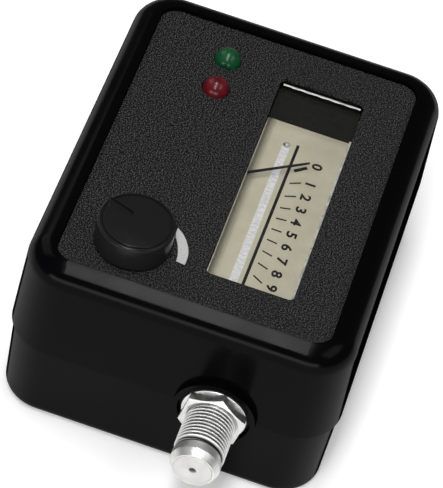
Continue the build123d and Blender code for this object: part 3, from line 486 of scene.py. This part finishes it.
class SIGNAL_METER_OT_case(bpy.types.Operator):
    """Finish the two shells and the face panel"""
    bl_idname = "signal_meter.case"
    bl_label = "Case and panel"

    def execute(self, context):
        settings = context.scene.signal_meter_case
        dress(glossy_case_plastic(settings), "front_cover", "rear_cover")
        dress(panel_plastic(settings), "face_plate")
        return {"FINISHED"}


class SIGNAL_METER_OT_knob(bpy.types.Operator):
    """Turn the level knob and mill its pointer groove"""
    bl_idname = "signal_meter.knob"
    bl_label = "Level knob"

    # millimetres and degrees
    RADIUS, WALL, ROOF, EDGE, FOOT = 7.15, 1.3, 1.9, 0.5, 0.15
    HUB_BORE, HUB_RADIUS, HUB_SINK = 3.02, 4.6, 0.1
    # depth and radius along the ring groove in the top, from outside in
    RING_GROOVE = ((0.0, 6.63), (0.05, 6.59), (0.3, 6.57), (0.3, 6.3), (0.12, 6.22), (0.03, 6.12),
                   (0.0, 6.02))
    # depth and half width of the pointer groove, from its floor up
    GROOVE = ((0.6, 0.62), (0.48, 0.75), (0.1, 0.75), (-0.3, 1.15))
    GROOVE_INNER, GROOVE_OUTER, GROOVE_SHIFT, GROOVE_ANGLE = 2.3, 9.0, 0.85, 251.0

    def execute(self, context):
        low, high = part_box("knob")
        low, high = low / MM, high / MM
        middle = (low + high) / 2
        base, top, roof = low.z, high.z, high.z - self.ROOF
        side, inner = self.RADIUS, self.RADIUS - self.WALL
        edge = [(top - self.EDGE + self.EDGE * sin(radians(a)),
                 side - self.EDGE + self.EDGE * cos(radians(a))) for a in range(0, 91, 10)]
        outline = [(base, inner), (base, side - self.FOOT), (base + self.FOOT, side)] + edge
        outline += [(top - depth, radius) for depth, radius in self.RING_GROOVE]
        outline += [(top, 0.0), (roof, 0.0), (roof, inner)]
        hub_top = roof + self.HUB_SINK
        hub = [(base, self.HUB_BORE), (base, self.HUB_RADIUS), (hub_top, self.HUB_RADIUS),
               (hub_top, self.HUB_BORE)]
        shape = together([turned(outline, 144), turned(hub, 48)])
        body = solid("knob_blank", *upright(shape, middle.x, middle.y), None)
        loops = []
        turn = Matrix.Rotation(radians(self.GROOVE_ANGLE), 2)
        for depth, half in self.GROOVE:
            loop = [Vector((self.GROOVE_OUTER, -half))]
            loop += [Vector((self.GROOVE_INNER - half * cos(a), -half * sin(a)))
                     for a in [pi / 2 - pi * i / 12 for i in range(13)]]
            loop.append(Vector((self.GROOVE_OUTER, half)))
            spots = [turn @ (point - Vector((0, self.GROOVE_SHIFT))) for point in loop]
            loops.append([(middle.x + spot.x, middle.y + spot.y, top - depth) for spot in spots])
        groove = solid("groove", *stacked(loops), None)
        settings = context.scene.signal_meter_case
        knob = carved("level_knob", body, [groove], knob_plastic(settings), 24)
        ride_on(knob, "knob", "knob_plastic", "knob")
        return {"FINISHED"}


class SIGNAL_METER_OT_level_mark(bpy.types.Operator):
    """Print the curved level mark round the knob"""
    bl_idname = "signal_meter.level_mark"
    bl_label = "Level mark"

    # (degrees from +Y towards -X, inner radius, outer radius) about the knob's axis
    COURSE = ((-6.0, 8.70, 10.36), (3.0, 8.50, 10.34), (12.5, 8.36, 10.29), (24.0, 8.30, 10.12),
              (34.5, 8.32, 9.95), (40.0, 8.70, 9.82), (44.0, 9.22, 9.73), (46.5, 9.64, 9.67))
    STEPS = 4                    # from one place of the course to the next

    def execute(self, context):
        low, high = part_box("knob")
        centre = (low + high) / 2 / MM
        inner, outer = [], []
        for i in range(len(self.COURSE) - 1):
            one, two = self.COURSE[i], self.COURSE[i + 1]
            last = i == len(self.COURSE) - 2
            for step in range(self.STEPS + last):
                share = step / self.STEPS
                turn, near, far = (a + (b - a) * share for a, b in zip(one, two))
                turn = radians(turn)
                inner.append((centre.x - near * sin(turn), centre.y + near * cos(turn)))
                outer.append((centre.x - far * sin(turn), centre.y + far * cos(turn)))
        shape = prism(inner + outer[::-1], FACE_TOP - INK_SINK, FACE_TOP + INK_THICKNESS)
        settings = context.scene.signal_meter_dial
        mark = solid("level_mark", *shape, ink("ink_light_grey", settings.mark_colour, "a9a9a8"))
        ride_on(mark, "case", "dial_paint")
        return {"FINISHED"}


class SIGNAL_METER_OT_dial(bpy.types.Operator):
    """Finish the dial and the needle, print the scale and the numbers, and lay the stripe with its painted
    reflection
    """
    bl_idname = "signal_meter.dial"
    bl_label = "Dial and needle"

    # inner and outer end of each scale mark, by its number
    MARKS = (((-13.29, 8.22), (-15.17, 10.35)), ((-9.77, 8.26), (-10.82, 10.30)),
             ((-6.14, 8.24), (-6.98, 10.32)), ((-2.88, 8.23), (-3.39, 10.19)), ((0.06, 8.23), (-0.19, 10.26)),
             ((3.02, 8.15), (3.06, 10.15)), ((5.97, 8.07), (6.25, 10.13)), ((9.13, 8.06), (9.69, 10.09)),
             ((12.39, 8.08), (13.18, 10.17)), ((15.74, 8.13), (16.97, 10.14)))
    NUMBER_X = (-16.2, -11.15, -7.45, -3.95, -0.55, 2.95, 6.45, 10.15, 13.65, 17.35)
    NUMBER_Y = 12.1
    NUMBER_STRETCH = 1.25        # the printed numbers are wide
    NUMBER_WEIGHT = 0.03         # how much bolder they are than the typeface, as a share of their size
    FIRST_TICK = 2.2             # how many times wider the zero's mark is
    BASE_LINE = ((-20.2, 7.24), (20.5, 6.9), 0.6)              # both ends and the width
    STRIPE = ((-19.9, 4.75), (-18.5, 4.3), (20.5, 4.2), (20.5, 5.8), (-18.5, 5.85), (-19.9, 5.45))
    RING = ((-19.4, 5.1), 0.3, 0.75)                           # centre, inner and outer radius
    PIVOT = (1.5, -12.0)
    REST_ANGLE = 35.9            # from +Y towards -X
    HUB_RADIUS = 1.3
    # the needle's limbs: direction in degrees, reach, half width at the hub and at the tip
    LIMBS = ((0, 3.6, 0.45, 0.45), (90, 27.9, 0.33, 0.17), (180, 3.6, 0.45, 0.45), (270, 6.6, 0.45, 0.45))

    def line(self, one, two, width):
        """A straight printed line."""
        one, two = Vector(one), Vector(two)
        side = (two - one).orthogonal().normalized() * width / 2
        outline = [tuple(one - side), tuple(two - side), tuple(two + side), tuple(one + side)]
        return prism(outline, DIAL_TOP - INK_SINK, DIAL_TOP + INK_THICKNESS)

    def fibrous_ink(self, settings):
        """The stripe is a mirror band: its pale colour, mottled in short fibres across the stripe, paints its
        reflection of the pale surroundings.
        """
        material, tree, shader, place = start("mirror_band_painted_reflection", settings.stripe_colour, 0.5,
                                              Specular_IOR_Level=0.2)
        fibres_and_painted_reflection = noise(tree, place, 0.7, 3.0, (1.6, 0.6, 1.0))
        tint(tree, shader, spread(tree, fibres_and_painted_reflection, 0.36, 0.62), "d6d5d8", settings.stripe_colour)
        relief(tree, shader, fibres_and_painted_reflection, 0.02)
        return material

    def arc_cell(self, centre, inner, outer, step):
        """One of the 24 cells of a printed ring."""
        one, two = step * pi / 12, (step + 1) * pi / 12
        spots = [(inner, one), (outer, one), (outer, two), (inner, two)]
        outline = [(centre[0] + r * cos(a), centre[1] + r * sin(a)) for r, a in spots]
        return prism(outline, DIAL_TOP - INK_SINK, DIAL_TOP + INK_THICKNESS * 1.5)

    def needle(self, material):
        """The pointer: one thin blanked sheet with a blade, two arms, a tail and a hub."""
        outline = []
        for angle, reach, root, tip in self.LIMBS:
            along = Vector((cos(radians(angle)), sin(radians(angle))))
            across = Vector((-along.y, along.x))
            foot = along * (self.HUB_RADIUS ** 2 - root ** 2) ** 0.5
            outline += [foot - across * root, along * reach - across * tip, along * reach + across * tip,
                        foot + across * root]
            for step in (1, 2, 3):
                turn = radians(angle + 20 + step * 12.5)
                outline.append(Vector((cos(turn), sin(turn))) * self.HUB_RADIUS)
        low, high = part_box("needle")
        turn = Matrix.Rotation(radians(self.REST_ANGLE), 2)
        pivot = Vector(self.PIVOT)
        outline = [tuple(pivot + turn @ point) for point in outline]
        ride_on(solid("pointer", *prism(outline, low.z / MM, high.z / MM), material), "movement",
                "needle_paint", "needle")

    def number(self, digit, x, size):
        """One printed number, centred on its place."""
        text = bpy.data.curves.new("number", "FONT")
        text.body = str(digit)
        text.size = size
        text.offset = size * self.NUMBER_WEIGHT
        text.extrude = INK_THICKNESS / 2 * MM
        text.resolution_u = 4
        holder = bpy.data.objects.new("number", text)
        bpy.context.scene.collection.objects.link(holder)
        mesh = worked_out(holder)
        bpy.data.objects.remove(holder)
        points = [Vector((v.co.x * self.NUMBER_STRETCH, v.co.y, v.co.z)) / MM for v in mesh.vertices]
        middle = (Vector(map(min, zip(*points))) + Vector(map(max, zip(*points)))) / 2
        move = Vector((x, self.NUMBER_Y, DIAL_TOP + INK_THICKNESS / 2)) - middle
        return [tuple(p + move) for p in points], [tuple(f.vertices) for f in mesh.polygons]

    def execute(self, context):
        settings = context.scene.signal_meter_dial
        dress(painted_dial(settings), "dial_plate")
        self.needle(ink("paint_black_satin", "0a0a0b", "101011"))
        width = settings.tick_width / MM
        shapes = [self.line(*mark, width * (self.FIRST_TICK if i == 0 else 1))
                  for i, mark in enumerate(self.MARKS)]
        shapes.append(self.line(*self.BASE_LINE))
        shapes += [self.number(i, x, settings.number_size) for i, x in enumerate(self.NUMBER_X)]
        scale = solid("dial_scale", *together(shapes), ink("ink_black", settings.ink_colour, "121110"), 20)
        ride_on(scale, "case", "needle_paint")
        band = prism(self.STRIPE, DIAL_TOP - INK_SINK, DIAL_TOP + INK_THICKNESS)
        # The stripe's pale colour is a painted reflection in the mirror band.
        stripe = solid("dial_stripe", *band, self.fibrous_ink(settings))
        ride_on(stripe, "case", "dial_paint")
        ring = together([self.arc_cell(*self.RING, step) for step in range(24)])
        mark = solid("dial_ring", *ring, ink("ink_grey", "a09d98", "b5b2ac"))
        ride_on(mark, "case", "dial_paint")
        return {"FINISHED"}


class SIGNAL_METER_OT_window(bpy.types.Operator):
    """Finish the clear window and the housing behind it"""
    bl_idname = "signal_meter.window"
    bl_label = "Window and meter housing"

    # millimetres: how far the opening lies inside the sheet's far and +Y edges
    FAR_BRIM, SIDE_BRIM = 1.3, 1.25
    # where the far bead starts beside the sheet's -Y edge, and how much shorter it is than the sheet
    FAR_START, FAR_LESS = 1.75, 3.5
    # the same for the bead on the +Y edge, counted from the opening's far end
    SIDE_START, SIDE_LESS = 9.5, 11.2
    STEPS = 24

    def places(self, first, length):
        """Even places along a bead."""
        return [first + length * i / self.STEPS for i in range(self.STEPS + 1)]

    def execute(self, context):
        dress(clear_plastic(), "meter_window")
        dress(meter_plastic(), "meter_housing")
        # A bead of solvent cement, which dries clear and glassy, runs along the window's edges; its pale
        # colour paints the highlight on its rounded skin.
        edge_highlight = plain_plastic("bead_painted_highlight", "b9b8b2", "8f8e89", 0.25, 0.5)
        low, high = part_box("meter_window")
        low, high = low / MM, high / MM
        far, top = low.x + self.FAR_BRIM, high.z
        loops = []
        for y in self.places(low.y + self.FAR_START, high.y - low.y - self.FAR_LESS):
            swell = 1 + 0.12 * sin(y * 2.3)
            loops.append([(far + 0.04, y, top - 0.2), (far + 0.5 * swell, y, top - 0.02),
                          (far + 0.4 * swell, y, top + 0.07), (far + 0.22, y, top + 0.12 * swell),
                          (far + 0.06, y, top + 0.08)])
        side, edge = high.y - self.SIDE_BRIM, []
        for x in self.places(far + self.SIDE_START, high.x - far - self.SIDE_LESS):
            swell = 1 + 0.15 * sin(x * 1.7)
            edge.append([(x, side + 0.02, top - 0.2), (x, side - 0.42 * swell, top - 0.02),
                         (x, side - 0.33 * swell, top + 0.06), (x, side - 0.1, top + 0.1),
                         (x, side, top + 0.08)])
        bead = solid("window_cement", *together([stacked(loops), stacked(edge)]), edge_highlight, 60)
        ride_on(bead, "case", "meter_plastic")
        return {"FINISHED"}


class SIGNAL_METER_OT_lamps(bpy.types.Operator):
    """Finish the green and the red lamp"""
    bl_idname = "signal_meter.lamps"
    bl_label = "Lamps"

    def execute(self, context):
        dress(lamp_epoxy("epoxy_green", "083a1e", "0f4a2a"), "green_lamp")
        dress(lamp_epoxy("epoxy_red", "4a0a12", "5c101a"), "red_lamp")
        return {"FINISHED"}


class SIGNAL_METER_OT_sockets(bpy.types.Operator):
    """Turn the two threaded barrels and finish the nuts, washers, plugs and contacts"""
    bl_idname = "signal_meter.sockets"
    bl_label = "Sockets"

    # every x below is measured from the case's middle, as on the front socket
    THREAD_END = 51.9
    THREAD_TURNS = 10.6
    GRIME_TOP = 0.06             # how far below the crests the painted shade in the roots ends

    def barrel(self, settings):
        """The barrel without its thread: tail, flange, core, collar, nose and the bore for the plug."""
        crest, depth = settings.crest_radius / MM, settings.thread_depth / MM
        root = crest - depth
        outline = [(30.9, 3.6), (30.9, 4.55), (31.05, 4.7), (35.9, 4.7), (35.9, 6.3), (37.5, 6.3),
                   (37.5, crest), (43.35, crest), (43.7, root), (52.7, root), (52.8, root + 0.1),
                   (52.8, 4.57), (52.88, 4.65), (54.02, 4.65), (54.1, 4.6), (55.38, 4.0), (55.45, 3.93),
                   (55.45, 3.68), (55.37, 3.6)]
        return raw_mesh("barrel", *turned(outline, settings.steps))

    def turned_pair(self, name, outline, axis, material, slot, node):
        """One turned ring for each end, in one piece of mesh."""
        points, faces = turned(outline, 72)
        centre = axis / MM
        front = [(x, y + centre.y, z + centre.z) for x, y, z in points]
        rear = [(-x, centre.y - y, z + centre.z) for x, y, z in points]
        pair = solid(name, *together([(front, faces), (rear, faces)]), material, 40)
        ride_on(pair, "case", slot, "front_" + node, "rear_" + node)

    def thread_tree(self, material):
        """A ridge that follows a helix round the barrel and runs out at both ends."""
        tree, given = new_tree("barrel_thread", Int=("Steps",), Float=(
            "Root Radius", "Depth", "Pitch", "Crest Width", "Start", "Turns"))
        height = maths(tree, "MULTIPLY", given["Pitch"], given["Turns"])
        helix = add(tree, "GeometryNodeCurveSpiral", {
            "Resolution": given["Steps"], "Rotations": given["Turns"], "Start Radius": given["Root Radius"],
            "End Radius": given["Root Radius"], "Height": height}).outputs[0]
        helix = add(tree, "GeometryNodeSetCurveNormal", {"Curve": helix}, mode="Z_UP").outputs[0]
        along = add(tree, "GeometryNodeSplineParameter").outputs["Factor"]
        fade = maths(tree, "MINIMUM", spread(tree, along, 0.0, 0.05), spread(tree, along, 1.0, 0.95))
        half_base = maths(tree, "MULTIPLY", given["Pitch"], 0.47)
        half_crest = maths(tree, "MULTIPLY", given["Crest Width"], 0.5)
        # each corner of the ridge's section: its share of the depth inwards, its half width and its side
        corners = []
        for depth_share, half, side in ((0.12, half_base, -1), (-1.0, half_crest, -1), (-1.0, half_crest, 1),
                                        (0.12, half_base, 1)):
            out = maths(tree, "MULTIPLY", given["Depth"], depth_share)
            over = maths(tree, "MULTIPLY", half, side)
            corners.append(add(tree, "ShaderNodeCombineXYZ", {"X": out, "Y": over}).outputs[0])
        profile = add(tree, "GeometryNodeCurvePrimitiveQuadrilateral",
                      {"Point %d" % (i + 1): corner for i, corner in enumerate(corners)},
                      mode="POINTS").outputs[0]
        ridge = add(tree, "GeometryNodeCurveToMesh", {"Curve": helix, "Profile Curve": profile,
                                                      "Scale": fade, "Fill Caps": True}).outputs[0]
        move = add(tree, "ShaderNodeCombineXYZ", {"X": given["Start"]}).outputs[0]
        laid = add(tree, "GeometryNodeTransform", {"Geometry": ridge, "Translation": move,
                                                   "Rotation": (0.0, pi / 2, 0.0)}).outputs[0]
        both = add(tree, "GeometryNodeJoinGeometry")
        tree.links.new(given["Geometry"], both.inputs[0])
        tree.links.new(laid, both.inputs[0])
        end_tree(tree, both.outputs[0], material)
        return tree

    def execute(self, context):
        settings = context.scene.signal_meter_sockets
        # Nickel-plated brass, turned: a bright cool metal with fine rings left by the lathe tool.
        nickel = plain_metal("nickel_turned", settings.nickel_colour, "d0d0cf", 0.42, 0.9,
                             (14.0, 1.0, 1.0), 0.002)
        tree = self.thread_tree(nickel)
        root = settings.crest_radius - settings.thread_depth
        low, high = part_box("front_socket_body")
        axis = Vector((0, (low.y + high.y) / 2, (low.z + high.z) / 2))
        unshaded_radius = settings.crest_radius - self.GRIME_TOP * MM
        # Painted shade darkens the thread's roots.
        grimy_roots(nickel, axis, root, unshaded_radius, (self.THREAD_END + 0.1) * MM)
        for end, turn in (("front", 0.0), ("rear", pi)):
            values = {"Root Radius": root, "Depth": settings.thread_depth, "Pitch": settings.pitch,
                      "Crest Width": settings.crest_width, "Turns": self.THREAD_TURNS,
                      "Start": self.THREAD_END * MM - settings.pitch * self.THREAD_TURNS,
                      "Steps": settings.steps}
            mesh = grown(end + "_barrel", self.barrel(settings), tree, values)
            mesh.transform(Matrix.Translation(axis) @ Matrix.Rotation(turn, 4, "Z"))
            barrel = settle(end + "_barrel", mesh, nickel, 28)
            ride_on(barrel, "case", "nickel_plate", end + "_socket_body")
        # Nickel-plated steel, stamped and tumbled.
        stamped = plain_metal("nickel_tumbled", settings.nickel_colour, "cdcccb", 0.34, 0.7)
        # Polyethylene, moulded: white and a little waxy.
        white = plain_plastic("polyethylene_white", "cbcac8", "c1c0bd", 0.5)
        # Brass, sprung; only its dark mouth shows, and its near-black colour paints the shade deep in the
        # hole.
        contact_shade = plain_metal("brass_painted_shade", "0b0906", "080604", 0.6)
        for end in ("front", "rear"):
            dress(stamped, end + "_socket_nut")
            dress(contact_shade, end + "_socket_contact")
        inner, outer = (corner.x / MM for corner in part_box("front_socket_washer"))
        washer = [(inner, 4.8), (inner, 6.1), (inner + 0.1, 6.2), (outer - 0.2, 6.2), (outer - 0.08, 6.16),
                  (outer - 0.02, 6.08), (outer, 5.98), (outer, 4.9), (outer - 0.1, 4.8)]
        self.turned_pair("socket_washers", washer, axis, stamped, "nickel_plate", "socket_washer")
        inner, outer = (corner.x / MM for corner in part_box("front_socket_insulator"))
        plug = [(inner, 0.86), (inner, 3.5), (inner + 0.1, 3.59), (outer - 0.1, 3.59), (outer - 0.02, 3.54),
                (outer, 3.48), (outer, 0.74), (outer - 0.04, 0.68), (outer - 0.12, 0.65),
                (outer - 0.28, 0.65), (outer - 0.4, 0.86)]
        self.turned_pair("socket_plugs", plug, axis, white, "white_insulator", "socket_insulator")
        return {"FINISHED"}


class SIGNAL_METER_OT_case_screws(bpy.types.Operator):
    """Set the four cross-head screws into the underside"""
    bl_idname = "signal_meter.case_screws"
    bl_label = "Case screws"

    # millimetres: radii of the head, the thread's crests and its roots; then lengths along the screw
    HEAD, CREST, ROOT = 2.5, 1.2, 0.95
    UNDER_HEAD, PITCH, PLAIN_END, POINT = 1.8, 0.5, 1.4, 1.2

    def screw(self, low, high):
        """One screw on the Z axis, head down, with a cross recess pressed into the head."""
        outline = [(0.0, 0.0), (0.35, 1.7), (0.7, 2.2), (1.1, 2.45), (self.UNDER_HEAD, self.HEAD),
                   (self.UNDER_HEAD, self.CREST)]
        length = high - low
        along = self.UNDER_HEAD
        while along + self.PITCH < length - self.PLAIN_END:
            outline += [(along, self.CREST), (along + self.PITCH / 2, self.ROOT),
                        (along + self.PITCH, self.CREST)]
            along += self.PITCH
        outline += [(length - self.POINT, self.CREST), (length, 0.15), (length, 0.0)]
        points, faces = turned(outline, 32)
        body = solid("screw_body", [(-z, y, x + low) for x, y, z in points], faces, None)
        cuts = []
        for turn in (pi / 4, -pi / 4):
            points = []
            faces = [(3, 2, 1, 0), (4, 5, 6, 7), (0, 1, 5, 4), (1, 2, 6, 5), (2, 3, 7, 6), (3, 0, 4, 7)]
            for z, half_long, half_wide in ((low - 1.0, 1.9, 0.3), (low + 1.2, 0.6, 0.22)):
                for a, b in ((-1, -1), (1, -1), (1, 1), (-1, 1)):
                    flat = Matrix.Rotation(turn, 3, "Z") @ Vector((a * half_long, b * half_wide, z))
                    points.append(tuple(flat))
            cuts.append(solid("cross", points, faces, None))
        blank = carved("screw_blank", body, cuts)
        ready = blank.data
        bpy.data.objects.remove(blank)
        return ready

    def repeat_tree(self, material):
        """Sets one screw on every point of the carrier."""
        tree, given = new_tree("screws_on_points", Object=("Screw",), Float=("Turn",))
        screw = add(tree, "GeometryNodeObjectInfo", {"Object": given["Screw"]}, transform_space="ORIGINAL")
        number = add(tree, "GeometryNodeInputIndex").outputs[0]
        angle = maths(tree, "MULTIPLY", number, given["Turn"])
        spin = add(tree, "ShaderNodeCombineXYZ", {"Z": angle}).outputs[0]
        set_out = add(tree, "GeometryNodeInstanceOnPoints", {
            "Points": given["Geometry"], "Instance": screw.outputs["Geometry"], "Rotation": spin})
        end_tree(tree, set_out.outputs[0], material)
        return tree

    def execute(self, context):
        low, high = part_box("case_screws")
        low, high = low / MM, high / MM
        places = [(x, y, 0) for x in (low.x + self.HEAD, high.x - self.HEAD)
                  for y in (low.y + self.HEAD, high.y - self.HEAD)]
        # Carbon steel, zinc plated: a cool soft shine.
        steel = plain_metal("steel_zinc_plated", "b4b6b8", "a2a4a8", 0.3, 0.5)
        one = settle("screw", self.screw(low.z, high.z), steel)
        points = raw_mesh("screw_places", places, [])
        mesh = grown("case_screw_set", points, self.repeat_tree(steel), {"Screw": one, "Turn": 0.7})
        bpy.data.objects.remove(one)
        screws = settle("case_screw_set", mesh, steel)
        ride_on(screws, "case", "steel_parts", "case_screws")
        return {"FINISHED"}


class SIGNAL_METER_OT_inside(bpy.types.Operator):
    """Finish the pieces inside the case"""
    bl_idname = "signal_meter.inside"
    bl_label = "Meter movement and electronics"

    def execute(self, context):
        metal, plastic = plain_metal, plain_plastic
        # Enamelled copper wire: the enamel deepens the copper to a red brown; the lines are its turns.
        dress(metal("copper_enamelled", "a5562c", "8a4423", 0.3, 0.12, (1.0, 1.0, 6.0), 0.01), "coil_winding")
        # Bare aluminium: pale, rolled or drawn.
        dress(metal("aluminium_bare", "c5c7c9", "b5b7ba", 0.35, 1.2, (1.0, 1.0, 5.0)), "coil_former",
              "capacitors")
        # Free-turning brass, turned or stamped.
        dress(metal("brass_turned", "b8964f", "a3823f", 0.28), "core_clips", "top_bridge", "jewel_screws",
              "hairspring", "balance_weights", "meter_terminals", "pot_wiper")
        # Soft iron, cut and lacquered.
        dress(metal("iron_lacquered", "6d6b68", "5d5b58", 0.45), "yoke_ring")
        # Cast magnet alloy, ground.
        dress(metal("magnet_alloy_ground", "8b8a88", "777674", 0.42, 0.6, (4.0, 1.0, 1.0)), "core_magnet")
        # Steel, machined or drawn.
        dress(metal("steel_bright", "a9abad", "98999c", 0.3), "pivot_pins", "bridge_screws", "meter_screws",
              "board_screws", "pot_shell", "pot_bushing", "pot_pins", "lamp_leads")
        # Tinned steel sheet with the flow marks of the tin.
        dress(metal("steel_tinned", "b9bab8", "a4a5a3", 0.33, 2.0), "shield_can")
        # Epoxy and glass laminate under green resist; the weave shows faintly.
        dress(plastic("laminate_green", "1e5a33", "19502c", 0.35, 0.4), "circuit_board")
        # Black epoxy moulding compound.
        dress(plastic("moulding_black", "17181a", "1f2022", 0.5, 0.3), "chips", "transistors", "buzzer",
              "resistors")
        # Natural nylon: milky.
        dress(plastic("nylon_natural", "d9d3c3", "cfc8b6", 0.45), "lamp_spacers", "pot_shaft")
        # Phenolic paper laminate.
        dress(plastic("phenolic_brown", "5a3a22", "4c301b", 0.5, 0.6), "pot_track")
        return {"FINISHED"}


class SIGNAL_METER_OT_stage(bpy.types.Operator):
    """Set up the pale floor, the softboxes, the plain surroundings and the camera"""
    bl_idname = "signal_meter.stage"
    bl_label = "Studio"

    # The camera's place and the directions of its right, up and back, fitted to the object's edges
    CAMERA_PLACE = (0.39146141, 0.03395508, 0.43530009)
    CAMERA_TURN = ((-0.27151, -0.675678, 0.685377), (0.946203, -0.317639, 0.061691),
                   (0.176019, 0.665255, 0.725571))
    WIDTH, HEIGHT = 443, 488
    FOCUS, MIDDLE_X, MIDDLE_Y = 3007.166, 220.966, 229.021
    SENSOR_WIDTH = 36.0
    FLOOR_REACH, FLOOR_DEPTH = 3000.0, 5.0       # millimetres
    FLOOR_GLOW = 0.28            # what the floor needs on top of its light to read as white

    def softbox(self, name, angle, side, distance, length, width, power):
        """An area lamp that faces the object: angle from overhead towards +X, side towards +Y."""
        lamp = bpy.data.lights.new(name, "AREA")
        lamp.shape, lamp.size, lamp.size_y, lamp.energy = "RECTANGLE", width, length, power
        holder = bpy.data.objects.new(name, lamp)
        bpy.context.scene.collection.objects.link(holder)
        holder.visible_camera = False
        a, b = radians(angle), radians(side)
        way = Vector((sin(a) * cos(b), sin(b), cos(a) * cos(b)))
        across = Vector((-cos(a), 0, sin(a)))
        right = across.cross(way).normalized()
        turn = Matrix((right, way.cross(right), way)).transposed()
        holder.matrix_world = Matrix.Translation(way * distance + Vector((0, 0, 0.03))) @ turn.to_4x4()

    def floor(self, settings):
        """A wide pale floor. It reads as white to the lens and in gloss, and keeps the object's shadow."""
        material, tree, shader, place = start("board_painted_pale", settings.floor_colour, 0.9,
                                              Specular_IOR_Level=0.0)
        tint(tree, shader, spread(tree, noise(tree, place, 160.0), 0.3, 0.7), settings.floor_colour, "e3e3e3")
        ray = add(tree, "ShaderNodeLightPath").outputs
        seen = maths(tree, "ADD", ray["Is Camera Ray"], ray["Is Glossy Ray"])
        seen = maths(tree, "ADD", seen, ray["Is Transmission Ray"], use_clamp=True)
        strength = maths(tree, "MULTIPLY", seen, self.FLOOR_GLOW)
        glow = add(tree, "ShaderNodeEmission", {"Color": (1, 1, 1, 1), "Strength": strength}).outputs[0]
        both = add(tree, "ShaderNodeAddShader", {0: shader.outputs[0], 1: glow})
        tree.links.new(both.outputs[0], tree.nodes["Material Output"].inputs["Surface"])
        reach = self.FLOOR_REACH
        corners = [(-reach, -reach), (reach, -reach), (reach, reach), (-reach, reach)]
        solid("floor", *prism(corners, -self.FLOOR_DEPTH, 0.0), material)

    def execute(self, context):
        settings = context.scene.signal_meter_stage
        scene = context.scene
        scene.view_settings.view_transform = "Standard"
        self.floor(settings)
        # angle and side in degrees; distance, length and width in metres
        self.softbox("softbox_front", 16.0, -3.5, 1.0, 1.16, 0.16, settings.front_power)
        self.softbox("softbox_low", 82.5, -3.0, 0.7, 0.17, 0.9, settings.low_power)
        self.softbox("softbox_side", 7.0, 38.0, 1.0, 0.8, 0.4, settings.side_power)
        self.softbox("panel_dim", -30.0, -42.0, 1.2, 0.9, 0.6, settings.panel_power)
        world = bpy.data.worlds.new("plain_surroundings")
        scene.world = world
        world.use_nodes = True
        background = world.node_tree.nodes["Background"]
        background.inputs["Color"].default_value = (1, 1, 1, 1)
        background.inputs["Strength"].default_value = settings.fill_strength
        lens = bpy.data.cameras.new("camera")
        lens.sensor_width = self.SENSOR_WIDTH
        lens.lens = self.FOCUS * self.SENSOR_WIDTH / self.HEIGHT
        lens.shift_x = (self.WIDTH / 2 - self.MIDDLE_X) / self.HEIGHT
        lens.shift_y = (self.MIDDLE_Y - self.HEIGHT / 2) / self.HEIGHT
        lens.clip_start, lens.clip_end = 0.01, 20.0
        camera = bpy.data.objects.new("camera", lens)
        scene.collection.objects.link(camera)
        camera.matrix_world = Matrix.Translation(self.CAMERA_PLACE) @ Matrix(self.CAMERA_TURN).to_4x4()
        scene.camera = camera
        return {"FINISHED"}


class SIGNAL_METER_PT_steps(bpy.types.Panel):
    """The steps that dress the meter, in order"""
    bl_idname = "SIGNAL_METER_PT_steps"
    bl_label = "Signal meter"
    bl_space_type = "VIEW_3D"
    bl_region_type = "UI"
    bl_category = "Signal meter"

    def draw(self, context):
        for kind in OPERATORS:
            self.layout.operator(kind.bl_idname)
        for group, kind in GROUPS.items():
            for name in kind.__annotations__:
                self.layout.prop(getattr(context.scene, group), name)


GROUPS = {"signal_meter_case": MeterCaseSettings, "signal_meter_dial": MeterDialSettings,
          "signal_meter_sockets": MeterSocketSettings, "signal_meter_stage": MeterStageSettings}
OPERATORS = (SIGNAL_METER_OT_case, SIGNAL_METER_OT_knob, SIGNAL_METER_OT_level_mark, SIGNAL_METER_OT_dial,
             SIGNAL_METER_OT_window, SIGNAL_METER_OT_lamps, SIGNAL_METER_OT_sockets,
             SIGNAL_METER_OT_case_screws, SIGNAL_METER_OT_inside, SIGNAL_METER_OT_stage)


def register():
    """Registers the settings, the operators and the panel."""
    for name, group in GROUPS.items():
        bpy.utils.register_class(group)
        setattr(bpy.types.Scene, name, PointerProperty(type=group))
    for kind in OPERATORS + (SIGNAL_METER_PT_steps,):
        bpy.utils.register_class(kind)


def unregister():
    """Takes them out again."""
    for kind in (SIGNAL_METER_PT_steps,) + OPERATORS[::-1]:
        bpy.utils.unregister_class(kind)
    for name, group in GROUPS.items():
        delattr(bpy.types.Scene, name)
        bpy.utils.unregister_class(group)


def main():
    """Runs every step."""
    register()
    bpy.ops.signal_meter.case()
    bpy.ops.signal_meter.knob()
    bpy.ops.signal_meter.level_mark()
    bpy.ops.signal_meter.dial()
    bpy.ops.signal_meter.window()
    bpy.ops.signal_meter.lamps()
    bpy.ops.signal_meter.sockets()
    bpy.ops.signal_meter.case_screws()
    bpy.ops.signal_meter.inside()
    bpy.ops.signal_meter.stage()


if __name__ == "__main__":
    main()
